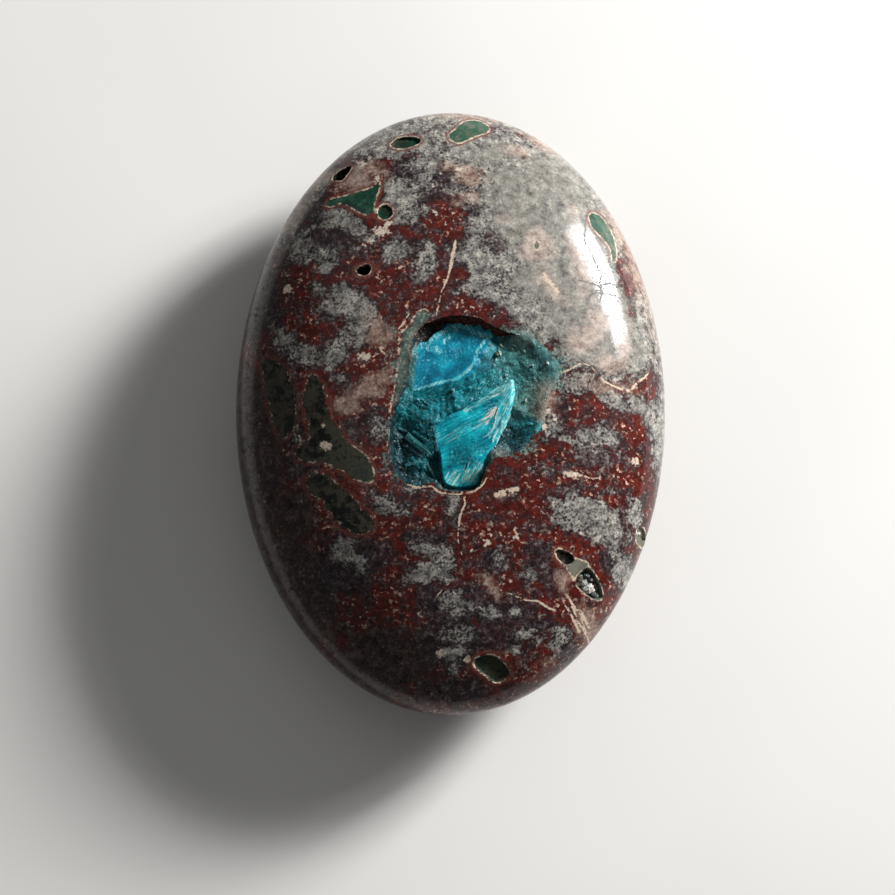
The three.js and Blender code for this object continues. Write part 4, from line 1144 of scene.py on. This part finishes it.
def crystal_material(name, transmission, roughness):
    """Glassy crystals, coloured by their shade attribute, with fine pale and dark flecks, and white
    specks that are painted glints.
    """
    look = Shader(name)
    shade = look.attribute("shade", "Color")
    cloud = look.noise(1.3, 4.0, 0.6)
    frost = look.noise(6.0, 2.0, 0.6)
    dim = look.mix(0.55, shade, (0, 0, 0))
    look.colour = look.mix(cloud.step(0.34, 0.60), dim, shade)
    look.paint(frost.step(0.5, 0.34) * 0.6, dim)
    look.paint(frost.step(0.57, 0.68) * cloud.step(0.40, 0.62) * 0.6, (116, 172, 170))
    # Painted glints: fine white specks.
    look.paint(look.noise(8.0, 1.0, 0.5).step(0.68, 0.73) * 0.8, (206, 226, 226))
    return look.finish({
        "Roughness": (frost - 0.5) * 0.5 + roughness, "Transmission Weight": transmission,
        "Subsurface Weight": 0.6, "Subsurface Radius": (0.5, 0.9, 1.0),
        "Subsurface Scale": 0.35 * MM, "IOR": 1.54, "Specular IOR Level": 0.2,
    })


# Heights of a prism's foot, shoulder and tip, in units of its radius.
PRISM_FOOT = -0.6
PRISM_SHOULDER = 0.75
PRISM_TIP = 1.5


def prism_shape(sides, flat=1.0):
    """Points and faces of a short prism with a point, in units of its radius."""
    turn = np.linspace(0, 2 * math.pi, sides, endpoint=False) + math.pi / sides
    ring = np.column_stack([np.cos(turn), np.sin(turn) * flat])
    points = [(x, y, z) for z in (PRISM_FOOT, PRISM_SHOULDER) for x, y in ring]
    points.append((0, 0, PRISM_TIP))
    foot = list(range(sides))
    shoulder = list(range(sides, 2 * sides))
    faces = ring_faces(shoulder, foot) + fan_faces(shoulder, 2 * sides) + [foot[::-1]]
    return np.array(points), faces


def turned(points, direction, spin):
    """Points turned so that their +Z lies along direction, after a spin about it."""
    rotation = Vector((0, 0, 1)).rotation_difference(direction.normalized()).to_matrix()
    cosine = math.cos(spin)
    sine = math.sin(spin)
    spun = points @ np.array([[cosine, sine, 0], [-sine, cosine, 0], [0, 0, 1]])
    return spun @ np.array(rotation).T


def crystal_points(x, y, low, high):
    """Relief of a crust of low crystal points, the highest of many small tilted pyramids, and how
    bright the crystal at each place is."""
    dice = random.Random(RELIEF_SEED)
    relief = np.full(len(x), -0.1)
    bright = np.ones(len(x))
    for _ in range(DRUSE_POINTS):
        middle_x = dice.uniform(low[0], high[0])
        middle_y = dice.uniform(low[1], high[1])
        size = 0.055 + 0.16 * dice.random() ** 2.5
        turn = dice.uniform(0, math.pi)
        sides = dice.choice((3, 4, 5, 6))
        slope = dice.uniform(0.25, 0.6)
        lean_x = dice.gauss(0, 0.22)
        lean_y = dice.gauss(0, 0.22)
        shine = dice.uniform(0.8, 1.2)
        near = np.nonzero(np.hypot(x - middle_x, y - middle_y) < 2 * size)[0]
        dx = x[near] - middle_x
        dy = y[near] - middle_y
        angles = turn + 2 * math.pi * np.arange(sides) / sides
        reach = np.max(np.outer(np.cos(angles), dx) + np.outer(np.sin(angles), dy), axis=0)
        height = 0.4 * size - slope * reach + lean_x * dx + lean_y * dy
        higher = height > relief[near]
        relief[near[higher]] = height[higher]
        bright[near[higher]] = shine
    return relief, bright


def add_crust(druse, mouth):
    """The closed bed of the druse, with a relief of crystal points."""
    border = mouth - inward(mouth) * CRUST_TUCK
    flat, faces, loop = filled(border, margin=0.5)
    x, y = flat.T
    depth = druse_depth(x, y)
    for crystal in (SLAB, SHEAF):
        depth = depth + DRUSE_DIP * smoothstep(0.1, 0.6, footprint_distance(crystal, x, y))
    relief, bright = crystal_points(x, y, border.min(axis=0), border.max(axis=0))
    shelf = smoothstep(2.0, 4.5, x)
    rough = lerp(0.35, 0.9, smoothstep(0.1, 0.6, depth)) * lerp(0.35, 0.55, shelf)
    lumps = druse_lumps(x, y, depth) * lerp(1.0, 0.6, shelf) + relief * rough
    height = dome(x, y)
    top = np.column_stack([x, y, np.minimum(height - depth + lumps, height - POLISH_GAP)])
    skirt = np.insert(flat[loop], 2, DRUSE_FLOOR, axis=1)
    points, faces = closed_crust(top, faces, loop, skirt, DRUSE_BOTTOM)
    shine = np.concatenate([bright, np.ones(len(points) - len(top))])
    shade = druse_colour(*points[:, :2].T) * DRUSE_BRIGHTNESS * shine[:, None]
    druse.add(points, faces, shade=shade)


def add_free_crystals(druse, mouth):
    """Larger crystals that stand on the crust, below the polish and around the cavansite."""
    dice = random.Random(CRYSTAL_SEED)
    shapes = [prism_shape(6), prism_shape(4), prism_shape(4, 0.55), prism_shape(6, 0.6)]
    spots = np.array([
        (dice.uniform(*POCKET_X), dice.uniform(*POCKET_Y)) for _ in range(SPOTS_TRIED)
    ])
    free = outline_distance(mouth, *spots.T) > 0.05
    for crystal in (SLAB, SHEAF):
        free &= footprint_distance(crystal, *spots.T) < FOOT_OVERLAP
    x, y = spots[free][:DRUSE_CRYSTALS].T
    depth = druse_depth(x, y)
    step = 0.15
    slope_x = (depth - druse_depth(x + step, y)) / step
    slope_y = (depth - druse_depth(x, y + step)) / step
    colours = druse_colour(x, y)
    heights = dome(x, y) - depth + druse_lumps(x, y, depth)
    bare = smoothstep(4.9, 5.4, y) * smoothstep(4.4, 3.6, x)
    for place in range(len(x)):
        points, faces = dice.choice(shapes)
        radius = 0.035 + 0.07 * dice.random() ** 2
        lean = Vector((-slope_x[place], -slope_y[place], 1)).normalized()
        tilt = Vector((dice.gauss(0, 0.5), dice.gauss(0, 0.5), 0))
        size = np.array([radius, radius, radius * dice.uniform(0.7, 1.6)])
        body = turned(points * size, lean + tilt, dice.uniform(0, math.pi))
        shade = colours[place] * dice.uniform(0.9, 1.5)
        if dice.random() < PALE_SHARE:
            shade = lerp(shade, PALE_CRYSTAL, 0.5)
        body = body + (x[place], y[place], heights[place])
        highest = dome(body[:, 0], body[:, 1]) - CRYSTAL_GAP
        if (body[:, 2] < highest).all() and dice.random() > bare[place]:
            druse.add(body, faces, shade=shade)


def add_blades_and_grains(druse):
    """The long blades, and the pale grains and painted glints, that the photograph shows one by one."""
    dice = random.Random(BLADE_SEED)
    for start, end, width, lift, shade in LONG_BLADES:
        ends = np.array([start, end])
        level = dome(*ends.T) - druse_depth(*ends.T)
        run = ends[1] - ends[0]
        direction = Vector((*run, level[1] - level[0])).normalized()
        side = direction.cross(Vector((dice.gauss(0, 0.2), dice.gauss(0, 0.2), 1))).normalized()
        points, faces = prism_shape(6, 0.3)
        middle = (0, 0, (PRISM_FOOT + PRISM_TIP) / 2)
        points = (points - middle) * (width / 2, width / 2, np.hypot(*run) / 2)
        body = points @ np.array([side, side.cross(direction), direction])
        druse.add(body + (*ends.mean(axis=0), level.mean() + lift), faces, shade=linear(*shade))
    for x, y, size, shade in PALE_GRAINS_AND_GLINTS:
        spot = np.array([[x], [y]])
        level = (dome(*spot) - druse_depth(*spot))[0]
        for _ in range(3):
            points, faces = prism_shape(4, dice.uniform(0.6, 1.0))
            lean = Vector((dice.gauss(0, 0.5), dice.gauss(0, 0.5), 1))
            body = turned(points * size * dice.uniform(0.5, 0.85), lean, dice.uniform(0, math.pi))
            shift = (x + dice.gauss(0, size / 3), y + dice.gauss(0, size / 3), level + 0.12)
            druse.add(body + shift, faces, shade=linear(*shade) * dice.uniform(0.8, 1.1))


def build_druse():
    druse = Body()
    mouth = pocket_mouth(DRUSE_MOUTH_STEP)
    add_crust(druse, mouth)
    add_free_crystals(druse, mouth)
    add_blades_and_grains(druse)
    material = crystal_material("druse_crystals", 0.0, 0.46)
    druse.piece("druse", material, "druse", ["druse_crust"])


# ------------------------------------------------------------------ cavansite
FOOT_STEP = 0.12  # spacing of the points round a crystal's foot
RIM_STEP = 0.3  # and round the rim of its top
BULGE = 0.8  # a power below 1 rounds the sides out
SKIRT = 0.4  # how far the sides go on down behind the druse
BLADE_LENGTHS = (0.5, 2.1)
BLADE_WIDTHS = (0.04, 0.12)
BLADE_INSET = 0.12  # how far the ends slope in from root to crest
BLADE_RAISED = 0.02
BLADE_SUNK = 0.16
CAVANSITE_CREASE = 24  # degrees


def cavansite_material(name, blues, frosts, silkiness, frostiness, comb):
    """Silky fibres: noise drawn out along the fibres, mottled, with frosted specks."""
    look = Shader(name)
    strand = {"X": look.attribute("along") * 0.5, "Y": look.attribute("across") * 6.0}
    silk = look.noise(1.0, 4.0, 0.65, look.node("CombineXYZ", strand))
    patches = look.noise(0.9, 4.0, 0.55)
    frost = look.noise(5.0, 3.0, 0.65)
    drift = look.noise(0.8, 2.0, 0.5)
    pale = look.attribute("pale")
    peach = look.attribute("peach")
    frosting = (frost - 0.5) * frostiness
    look.colour = (patches.varied(silk, silkiness).varied(frost, 0.5) + pale * 0.25).ramp(*blues)
    # The pale zones are frost, and along crests and lit edges painted highlights.
    pale_share = (frosting + pale).varied(silk, 1.6).step(0.3, 0.8)
    look.paint(pale_share, (frosting + silk).ramp(*frosts))
    look.paint(peach.varied(silk, 6.0).step(0.6, 1.3) * peach.step(0.02, 0.3), (228, 212, 190))
    look.paint(frost.step(0.57, 0.69) * drift.step(0.46, 0.58) * 0.65, (150, 212, 222))
    # Painted shade: a darker teal where the pale zones sum below nothing, on slopes that face away from
    # the light.
    shaded_teal = patches.varied(frost, 1.4).ramp(
        (0.32, 2, 70, 82), (0.50, 5, 106, 118), (0.66, 16, 134, 142), (0.80, 88, 172, 172))
    look.paint(pale.step(-0.05, -0.6), shaded_teal)
    return look.finish({
        "Roughness": silk * 0.4 + 0.26, "IOR": 1.55, "Specular IOR Level": 0.22,
        "Normal": look.bump(silk, 0.04, comb), "Subsurface Weight": 0.3,
        "Subsurface Radius": (0.4, 0.9, 1.0), "Subsurface Scale": 0.25 * MM,
    })


def zone_total(zones, x, y):
    """The sum of some zones at places. A zone has its full share on a run of points and fades to
    nothing at its width from them."""
    total = np.zeros(len(x))
    for share, width, points in zones:
        runs = [along_segment(x, y, *ends)[1] for ends in zip(points, points[1:])]
        total = total + share * smoothstep(width, width * 0.25, np.min(runs, axis=0))
    return total


class Cavansite(Body):
    """A crystal: a body whose top follows its edge's heights, combed along its fibres. direction
    is the fibres' angle at places, and pale and peach are the zones of those colours. The pale
    zones carry painted highlights as well as frost, and where they sum below nothing, painted shade."""

    def __init__(self, edge, middle, direction, pale, peach=(), relief=0.0, jagged=0.0, seed=1.0):
        super().__init__()
        edge = np.array(edge, float)
        self.feet = counter_clockwise(closed_curve(edge[:, 3:], FOOT_STEP, jagged, seed))
        self.rim = closed_curve(edge[:, :2], RIM_STEP)
        self.anchors = np.vstack([edge[:, :3], middle])
        self.direction = direction
        self.zones = {"pale": pale, "peach": peach}
        self.relief = relief
        self.seed = seed
        flat, faces, loop = filled(self.feet, margin=0.6)
        top = np.column_stack([flat, self.height(*flat.T)])
        skirt = top[loop] - (0, 0, SKIRT)
        bottom = (*flat.mean(axis=0), skirt[:, 2].min() - 0.1)
        self.add_combed(*closed_crust(top, faces, loop, skirt, bottom))

    def fibre_place(self, x, y):
        """Places along and across the fibres."""
        turn = self.direction(x, y)
        return x * np.cos(turn) + y * np.sin(turn), y * np.cos(turn) - x * np.sin(turn)

    def top_height(self, x, y):
        """A smooth blend of the heights at the edge and in the middle."""
        gap = np.hypot(x[:, None] - self.anchors[:, 0], y[:, None] - self.anchors[:, 1]) + 0.3
        weight = gap ** -3.0
        return (weight * self.anchors[:, 2]).sum(axis=1) / weight.sum(axis=1)

    def height(self, x, y):
        """Height of the body: its carved top inside the rim, its sides between rim and foot."""
        to_rim = outline_distance(self.rim, x, y)
        to_foot = np.maximum(outline_distance(self.feet, x, y), 0)
        ratio = np.where(to_rim > 0, 1.0, to_foot / (to_foot + np.maximum(-to_rim, 1e-6)))
        floor = dome(x, y) - druse_depth(x, y) - 0.1
        along, across = self.fibre_place(x, y)
        terrace = np.round(wave(across, along * 0.22, 1.1, self.seed) * 4) / 4
        comb = wave(across * 5.0, along * 0.5, 1.0, self.seed + 4)
        carved = terrace * self.relief + comb * self.relief * 0.2
        return lerp(floor, self.top_height(x, y) + carved, ratio ** BULGE)

    def add_combed(self, points, faces, shift=0.0, paleness=0.0):
        """Adds a shape and what its material reads: its place in the fibres and its zones."""
        x, y = points[:, :2].T
        along, across = self.fibre_place(x, y)
        pale = zone_total(self.zones["pale"], x, y) + paleness
        peach = zone_total(self.zones["peach"], x, y)
        self.add(points, faces, along=along, across=across + shift, pale=pale, peach=peach)

    def add_blades(self, count, lift):
        """Lays separate blades along the fibres, where both their ends lie over the top."""
        dice = random.Random(int(self.seed * 10))
        low = self.feet.min(axis=0)
        high = self.feet.max(axis=0)
        while count:
            spot = np.array([[dice.uniform(low[0], high[0]), dice.uniform(low[1], high[1])]])
            turn = self.direction(*spot.T)[0] + dice.gauss(0, 0.05)
            length = dice.uniform(*BLADE_LENGTHS)
            heading = np.array([math.cos(turn), math.sin(turn)])
            ends = spot + np.array([[-0.5], [0.5]]) * length * heading
            if (outline_distance(self.rim, *ends.T) < -0.05).any():
                continue
            count -= 1
            width = dice.uniform(*BLADE_WIDTHS)
            heights = self.height(*ends.T) + dice.uniform(-0.02, 1.0) * lift
            side = np.array([-heading[1], heading[0]]) * width / 2
            roll = dice.uniform(-0.5, 0.5) * width / 2
            points = []
            for end, height, inset in zip(ends, heights, (BLADE_INSET, -BLADE_INSET)):
                tip = end + heading * inset
                crest = height + BLADE_RAISED
                root = height - BLADE_SUNK
                points += [(*(tip + side), crest + roll), (*(tip - side), crest - roll)]
                points += [(*(end - side), root), (*(end + side), root)]
            front = [0, 1, 2, 3]
            back = [4, 5, 6, 7]
            faces = [front, back[::-1]] + ring_faces(front, back)
            self.add_combed(np.array(points), faces, dice.uniform(-3, 3), dice.gauss(0.1, 0.2))


def build_slab():
    blues = [
        (0.22, 0, 74, 98), (0.42, 0, 104, 130), (0.58, 2, 130, 156), (0.74, 18, 156, 178),
        (0.9, 104, 200, 210),
    ]
    frosts = [
        (0.30, 4, 124, 146), (0.48, 70, 172, 186), (0.62, 148, 206, 210), (0.76, 212, 230, 226),
    ]
    pale = [
        # Frosted ridge that is partly a painted highlight, streak at the back, specks at the left,
        # fringe at the top, frosted middle and, with less than nothing, painted shade on the slope at
        # the front, which faces away from the light.
        (0.95, 0.2, [(-3.1, 0.4), (-1.1, 0.95), (0.5, 1.3), (1.3, 1.9), (1.9, 2.6), (2.2, 3.8),
                     (3.1, 4.9)]),
        (0.5, 0.35, [(-0.6, 4.4), (0.4, 5.4)]),
        (0.7, 0.45, [(-1.7, 3.9), (-0.9, 3.7)]),
        (0.55, 0.4, [(-2.6, 3.9), (-1.4, 4.7), (-0.3, 5.5), (0.5, 6), (1.2, 5.7), (2.2, 5.1),
                     (3.2, 4.9)]),
        (0.3, 0.9, [(-0.2, 3.4), (0.9, 3.9)]),
        (-1.1, 1, [(-3.3, -0.3), (-1.2, -0.1), (0.7, 0.4), (2.2, 1.1), (3, 2.2), (3.7, 3.9)]),
    ]

    def direction(x, y):
        return math.radians(48) + 0.12 * y

    material = cavansite_material("cavansite_slab", blues, frosts, 0.3, 0.8, 0.12)
    slab = Cavansite(SLAB, (0, 3, 13), direction, pale, relief=0.035, jagged=0.13, seed=2.0)
    slab.piece("cavansite_slab", material, "cavansite", ["cavansite_upper"], CAVANSITE_CREASE)


def build_sheaf():
    blues = [
        (0.22, 0, 96, 114), (0.42, 0, 132, 150), (0.58, 0, 160, 176), (0.74, 22, 194, 204),
        (0.9, 134, 226, 228),
    ]
    frosts = [
        (0.34, 2, 112, 126), (0.46, 60, 172, 180), (0.56, 160, 208, 200), (0.66, 222, 226, 208),
    ]
    # The pale right edge is partly frosted fibres and partly a painted highlight where the light falls
    # on it.
    right_edge = (0.6, 1.5, [(4.95, 0.7), (4.85, -0.4), (4.4, -1.6), (3.8, -2.9)])
    foot = (0.62, 1.1, [(0.2, -6.7), (1.2, -6.2), (2.1, -6.6), (2.3, -5.6)])
    # The pale crest is a painted highlight along the sheaf's upper edge.
    crest = (0.5, 0.5, [(1.2, -1.1), (3.6, 0.2), (4.9, 1)])
    strands = (0.35, 0.8, [(-0.8, -3.4), (2.2, -2.2)])
    # Painted shade: a darker lower middle, which faces away from the light.
    painted_shade = (-0.35, 1.4, [(0.4, -5.2), (2.4, -4.6)])
    peach_spot = (1, 0.6, [(2.9, -1.9), (3.4, -1.2)])

    def direction(x, y):
        """The fibres lie in bundles, each a little turned. Those at the right edge stand up."""
        base = math.radians(27)
        across = y * math.cos(base) - x * math.sin(base)
        bundle = np.floor(1.2 * across + 0.5 * wave(x, y, 0.7, 9.0))
        turn = base + 0.08 * np.sin(2.4 * bundle)
        for zone, share, degrees in ((foot, 0.3, 60), (right_edge, 0.4, 66)):
            steep = math.radians(degrees) + 0.1 * np.sin(2.4 * bundle)
            turn = np.where(zone_total([(1, *zone[1:])], x, y) > share, steep, turn)
        return turn

    material = cavansite_material("cavansite_sheaf", blues, frosts, 0.8, 0.3, 0.16)
    pale = [right_edge, foot, crest, strands, painted_shade]
    sheaf = Cavansite(SHEAF, (1.6, -3, 13.1), direction, pale, [peach_spot], relief=0.09,
                      jagged=0.09, seed=5.0)
    sheaf.add_blades(count=40, lift=0.02)
    sheaf.piece("cavansite_sheaf", material, "cavansite", ["cavansite_lower"], CAVANSITE_CREASE)


# ------------------------------------------------------------------ crystals in the vugs
def build_vug_crystals():
    """Blocky white and grey-green crystals in the open vugs: x, y, size and tint."""
    blocks = [
        (10.8, -14.9, 0.5, (214, 214, 204)), (11.3, -15.35, 0.6, (232, 232, 224)),
        (10.9, -15.4, 0.36, (196, 198, 190)), (11.5, -14.6, 0.4, (96, 100, 92)),
        (11.75, -15.75, 0.36, (140, 144, 138)), (10.5, -14.5, 0.4, (130, 130, 118)),
        (11.85, -15.1, 0.4, (84, 88, 84)), (11.1, -14.2, 0.4, (100, 104, 98)),
        (10.4, -15.0, 0.3, (110, 110, 100)), (11.55, -15.2, 0.3, (206, 208, 200)),
        # The near-white block in the side vug at (15.28, -10.6) is a crystal whose tint is partly a
        # painted highlight.
        (15.28, -10.6, 0.46, (236, 234, 226)), (15.35, -11.1, 0.3, (150, 152, 142)),
        (15.25, -10.25, 0.26, (120, 122, 112)),
    ]
    dice = random.Random(VUG_SEED)
    cluster = Body()
    for x, y, size, shade in blocks:
        normal = dome_normal(x, y)
        for _ in range(5):
            points, faces = prism_shape(4, dice.uniform(0.5, 0.9))
            lean = normal + Vector((dice.gauss(0, 0.4), dice.gauss(0, 0.4), 0))
            points = points * size * dice.uniform(0.45, 0.8) * (1, 1, 0.7)
            body = turned(points, lean, dice.uniform(0, math.pi))
            spot = Vector((x + dice.gauss(0, 0.15) * size, y + dice.gauss(0, 0.15) * size, 0))
            spot.z = dome(spot.x, spot.y)
            place = spot - normal * (0.3 + 0.3 * size)
            cluster.add(body + np.array(place), faces, shade=linear(*shade) * dice.uniform(0.7, 1.15))
    cluster.piece("vug_crystals", crystal_material("vug_crystals", 0.1, 0.3), "druse")


# ------------------------------------------------------------------ floor, lights, camera
# Lights: name, azimuth from +X towards +Y and elevation in degrees, distance, width, height and
# power in watts.
LIGHTS = [
    ("window", 36, 21.5, 420, 88, 104, 2.4), ("window_haze", 38, 25, 430, 112, 96, 0.75),
    ("window_low_pane", 27.5, 22.5, 420, 80, 104, 0.7), ("soft_top", 110, 60, 900, 900, 900, 0.35),
]
LIGHT_TARGET = (0, 0, 10)
WORLD_COLOUR = (0.97, 0.98, 1.0, 1)  # linear light
WORLD_STRENGTH = 0.13
FLOOR_HALF = 900
CAMERA_DISTANCE = 320
CAMERA_ELEVATION = 80
CAMERA_LENS = 157.6
CAMERA_SENSOR = 36
CAMERA_TARGET = (-0.245, -3.07, 6.5)


def build_floor():
    look = Shader("studio_floor")
    look.colour = look.noise(0.02).ramp((0.4, 234, 232, 228), (0.6, 239, 237, 233))
    half = FLOOR_HALF * MM
    mesh = bpy.data.meshes.new("floor")
    corners = [(-half, -half, 0), (half, -half, 0), (half, half, 0), (-half, half, 0)]
    mesh.from_pydata(corners, [], [[0, 1, 2, 3]])
    mesh.materials.append(look.finish({"Roughness": 0.75}))
    floor = add_object("floor", mesh)


def direction_to(azimuth, elevation):
    """Unit vector, with azimuth and elevation in degrees."""
    turn = math.radians(azimuth)
    rise = math.radians(elevation)
    return Vector((math.cos(turn) * math.cos(rise), math.sin(turn) * math.cos(rise), math.sin(rise)))


def light_scene():
    """Soft rectangular lights that face the stone, and a dim even sky."""
    for name, azimuth, elevation, distance, width, height, power in LIGHTS:
        lamp = bpy.data.lights.new(name, "AREA")
        lamp.shape = "RECTANGLE"
        lamp.size = width * MM
        lamp.size_y = height * MM
        lamp.energy = power
        holder = add_object(name, lamp)
        away = direction_to(azimuth, elevation)
        holder.location = (Vector(LIGHT_TARGET) + away * distance) * MM
        holder.rotation_euler = (-away).to_track_quat("-Z", "Y").to_euler()
    world = bpy.data.worlds.new("studio")
    world.use_nodes = True
    background = world.node_tree.nodes["Background"]
    background.inputs["Color"].default_value = WORLD_COLOUR
    background.inputs["Strength"].default_value = WORLD_STRENGTH
    bpy.context.scene.world = world
    bpy.context.scene.view_settings.view_transform = "Standard"


def place_camera():
    camera = bpy.data.cameras.new("camera")
    camera.lens = CAMERA_LENS
    camera.sensor_width = CAMERA_SENSOR
    holder = add_object("camera", camera)
    away = direction_to(-90, CAMERA_ELEVATION)
    holder.location = (Vector(CAMERA_TARGET) + away * CAMERA_DISTANCE) * MM
    holder.rotation_euler = (math.pi / 2 - math.radians(CAMERA_ELEVATION), 0, 0)
    bpy.context.scene.camera = holder


build_stone()
build_druse()
build_slab()
build_sheaf()
build_vug_crystals()
build_floor()
light_scene()
place_camera()
